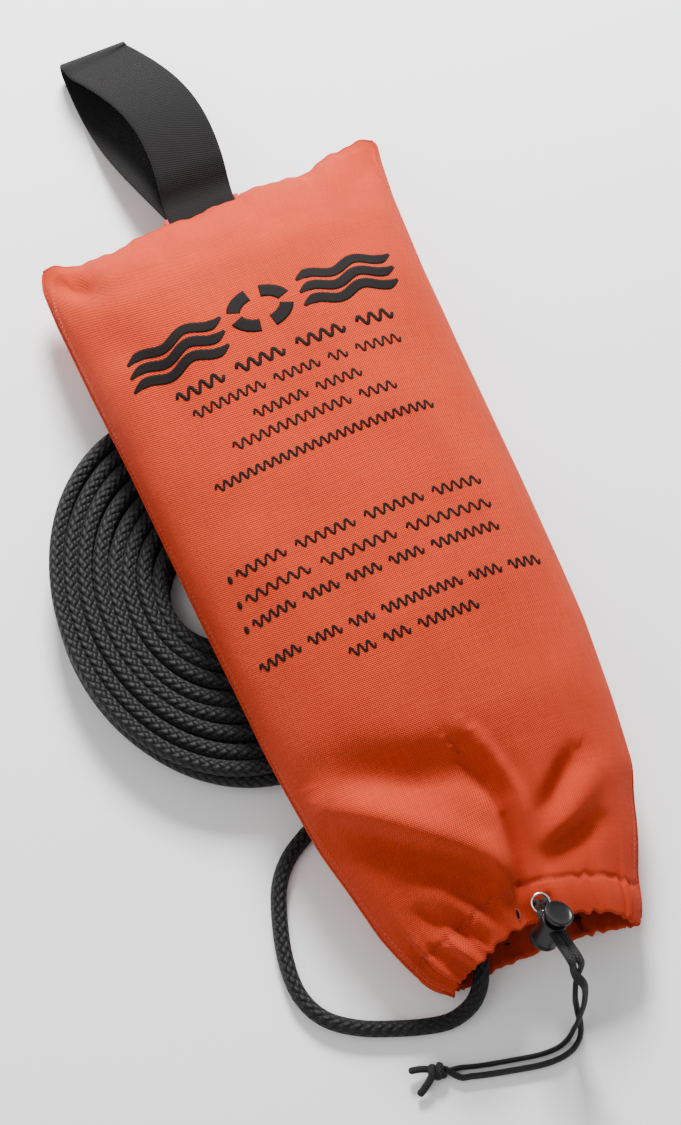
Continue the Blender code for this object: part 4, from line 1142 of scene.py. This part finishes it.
outer = packed(82 * MM, 17 * MM, 30, -0.172, 0.105)
inner = packed(65 * MM, 7 * MM, 30, -0.170, 0.104, True)
stowed_path = smooth_route(np.vstack([outer, inner]), 8 * MM)
stowed = tube("stowed_line", stowed_path, (ROPE_D / 2, ROPE_D / 2), ROPE, sides=8)
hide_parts("stowed_rope")
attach(stowed, "bag")
for name, look in (("anchor_loop", WEBBING), ("anchor_rope", ROPE)):
    node = frame["nodes"][name]
    node.material_slots[0].link = "OBJECT"
    node.material_slots[0].material = look

# %% [markdown]
# The front carries a screen print: a broad mark, then rows of small figures. Here the mark
# is a plain life ring between heavy waves, and each row is a line of ripples, so the print
# says water and throwing without any lettering. Every stroke is a narrow ribbon laid on
# the cloth: its plan is worked out flat, then each point takes the cloth's height there.
# %% Print on the front
def on_front(x, y, lift):
    """The cloth's point above plan place (x, y): the angle is arccos of ((x - middle) / half)^(1/0.86)."""
    right, left = edges(y)
    c = (x - (left + right) / 2) / ((right - left) / 2)
    return cloth(np.arccos(np.clip(power(c, 1 / FULLNESS), -0.999, 0.999)), y, lift)


def stroke(path, wide, columns=5):
    """A ribbon of ink: path (x, y) in millimetres, wide across, drawn as a grid."""
    path = np.asarray(path, float)
    ahead = unit(np.gradient(path, axis=0))
    side = np.stack([-ahead[:, 1], ahead[:, 0]], axis=1)
    across = np.linspace(-0.5, 0.5, columns)
    wide = np.broadcast_to(wide, (len(path),))
    return path[:, None] + side[:, None] * (across[None, :] * wide[:, None])[..., None]


def print_piece(name, plans):
    """Several ribbons of ink as one mesh, just proud of the cloth, with a little thickness."""
    points, faces, base = [], [], 0
    for plan in plans:
        rows, cols = plan.shape[:2]
        p = on_front(plan[..., 0] * MM, plan[..., 1] * MM, 0.28 * MM)
        i, j = np.meshgrid(np.arange(rows - 1), np.arange(cols - 1), indexing="ij")
        i, j = i.ravel(), j.ravel()
        quad = np.stack([i * cols + j, i * cols + j + 1, (i + 1) * cols + j + 1, (i + 1) * cols + j], axis=1)
        a, b, c = p[0, 0], p[0, 1], p[1, 0]
        faces += ((quad if np.cross(b - a, c - a)[2] > 0 else quad[:, ::-1]) + base).tolist()
        points.append(p.reshape(-1, 3))
        base += rows * cols
    made = mesh_piece(name, np.concatenate(points), faces, INK_AND_HOLE_SHADE)
    film = made.modifiers.new("film", "SOLIDIFY")
    film.thickness, film.offset = 0.2 * MM, -1
    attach(made, "bag")
    print(name, len(faces), "faces")


def ripple(x0, x1, y0, y1, letter, tall, thick):
    """A wave from (x0, y0) to (x1, y1): y swings by half of tall once every letter millimetres."""
    count = max(1, round((x1 - x0) / letter))
    t = np.linspace(0, 1, 10 * count + 1)
    x = x0 + (x1 - x0) * t
    y = y0 + (y1 - y0) * t + (tall - thick) / 2 * np.sin(2 * np.pi * count * t)
    return stroke(np.stack([x, y], axis=1), thick, 3)


def row_of_ripples(x0, x1, y0, y1, tall, thick, words):
    """Words of ripples along one line, each as many waves long as `words` says."""
    gap = 1.1
    total = sum(words) + gap * (len(words) - 1)
    unit_wide = (x1 - x0) / total
    out, at = [], 0.0
    for count in words:
        a, b = at / total, (at + count) / total
        out.append(ripple(x0 + (x1 - x0) * a, x0 + (x1 - x0) * b, y0 + (y1 - y0) * a, y0 + (y1 - y0) * b,
                          unit_wide, tall, thick))
        at += count + gap
    return out


t = np.linspace(0, 1, 90)
LEAN = 0.12
mark = []
for k in range(4):
    a = np.radians(np.linspace(90 * k + 14, 90 * k + 76, 26))
    mark.append(stroke(np.stack([-6 + 16.5 * np.cos(a), 89 + 11.2 * np.sin(a)], axis=1), 8.2, 7))
for lower, (x0, x1, drop) in ((0, (-92, -31, -5)), (1, (20, 80, 4))):
    for level in (-9.2, 0.0, 9.2):
        x = x0 + (x1 - x0) * t + LEAN * level
        y = 87.5 + drop * (0.4 if lower else 0.8) + level + 2.4 * np.sin(2 * np.pi * 2 * t)
        width = 6.6 * np.minimum(1, np.minimum(t, 1 - t) * 7 + 0.25)
        mark.append(stroke(np.stack([x, y], axis=1), width, 7))
upper_rows, lower_rows = [], []
for row in ((-73, 66, 57, 59, 8.6, 2.0, [4, 4, 4, 3]), (-68, 64, 42.5, 42, 7.0, 1.25, [8, 5, 2, 5]),
            (-36, 32, 26.5, 27.5, 7.0, 1.25, [6, 5]), (-55, 48, 13, 13, 7.0, 1.25, [13, 4]),
            (-74, 64, -6, -5, 6.6, 1.3, [27])):
    upper_rows += row_of_ripples(*row)
for x0, x1, y, words in ((-83, 70, -59, [5, 6, 6, 5]), (-84, 69, -75, [6, 7, 8]),
                         (-86, 67, -90, [5, 4, 4, 4, 8])):
    lower_rows += row_of_ripples(x0, x1, y, y, 7.0, 1.35, words)
    dot = np.stack([np.full(9, x0 - 4.5), y + np.linspace(-2.4, 2.4, 9)], axis=1)
    lower_rows.append(stroke(dot, 2.6 * np.sqrt(1 - np.linspace(-0.96, 0.96, 9) ** 2), 3))
lower_rows += row_of_ripples(-92, 82, -115, -116, 7.0, 1.3, [5, 4, 3, 10, 4, 4])
lower_rows += row_of_ripples(-44, 35, -131, -132, 7.0, 1.3, [3, 3, 7])
print_piece("print_mark", mark)
print_piece("print_rows_upper", upper_rows)
print_piece("print_rows_lower", lower_rows)

# %% [markdown]
# The studio is a pale floor, an even pale surround and two square lights: a small strong
# one low behind the handle, which rakes across the folds, and a large weak one opposite.
# %% Floor and light
floor_look = start("pale_floor", (0.93, 0.93, 0.93), 0.9)[0]
floor = mesh_piece("floor", [(-6, -6, 0), (6, -6, 0), (6, 6, 0), (-6, 6, 0)], [(0, 1, 2, 3)], floor_look)

world = bpy.data.worlds.new("studio")
world.use_nodes = True
world.node_tree.nodes["Background"].inputs[0].default_value = (1, 1, 1, 1)
world.node_tree.nodes["Background"].inputs[1].default_value = 0.60
bpy.context.scene.world = world


def softbox(name, place, size, power):
    """A square area light that faces the bag."""
    data = bpy.data.lights.new(name, "AREA")
    data.energy, data.size = power, size
    made = bpy.data.objects.new(name, data)
    made.location = place
    aim = np.array([0, -0.05, 0.04]) - np.array(place)
    back = -aim / np.linalg.norm(aim)
    side = np.cross([0, 0, 1.0], back)
    side /= np.linalg.norm(side)
    frame_of = np.identity(4)
    frame_of[:3] = np.stack([side, np.cross(back, side), back, place], axis=1)
    made.matrix_world = Matrix(frame_of.tolist())
    bpy.context.scene.collection.objects.link(made)


softbox("key", (0.38, 1.2, 0.98), 0.5, 80)
softbox("fill", (-1.2, -0.3, 2.0), 1.6, 14)
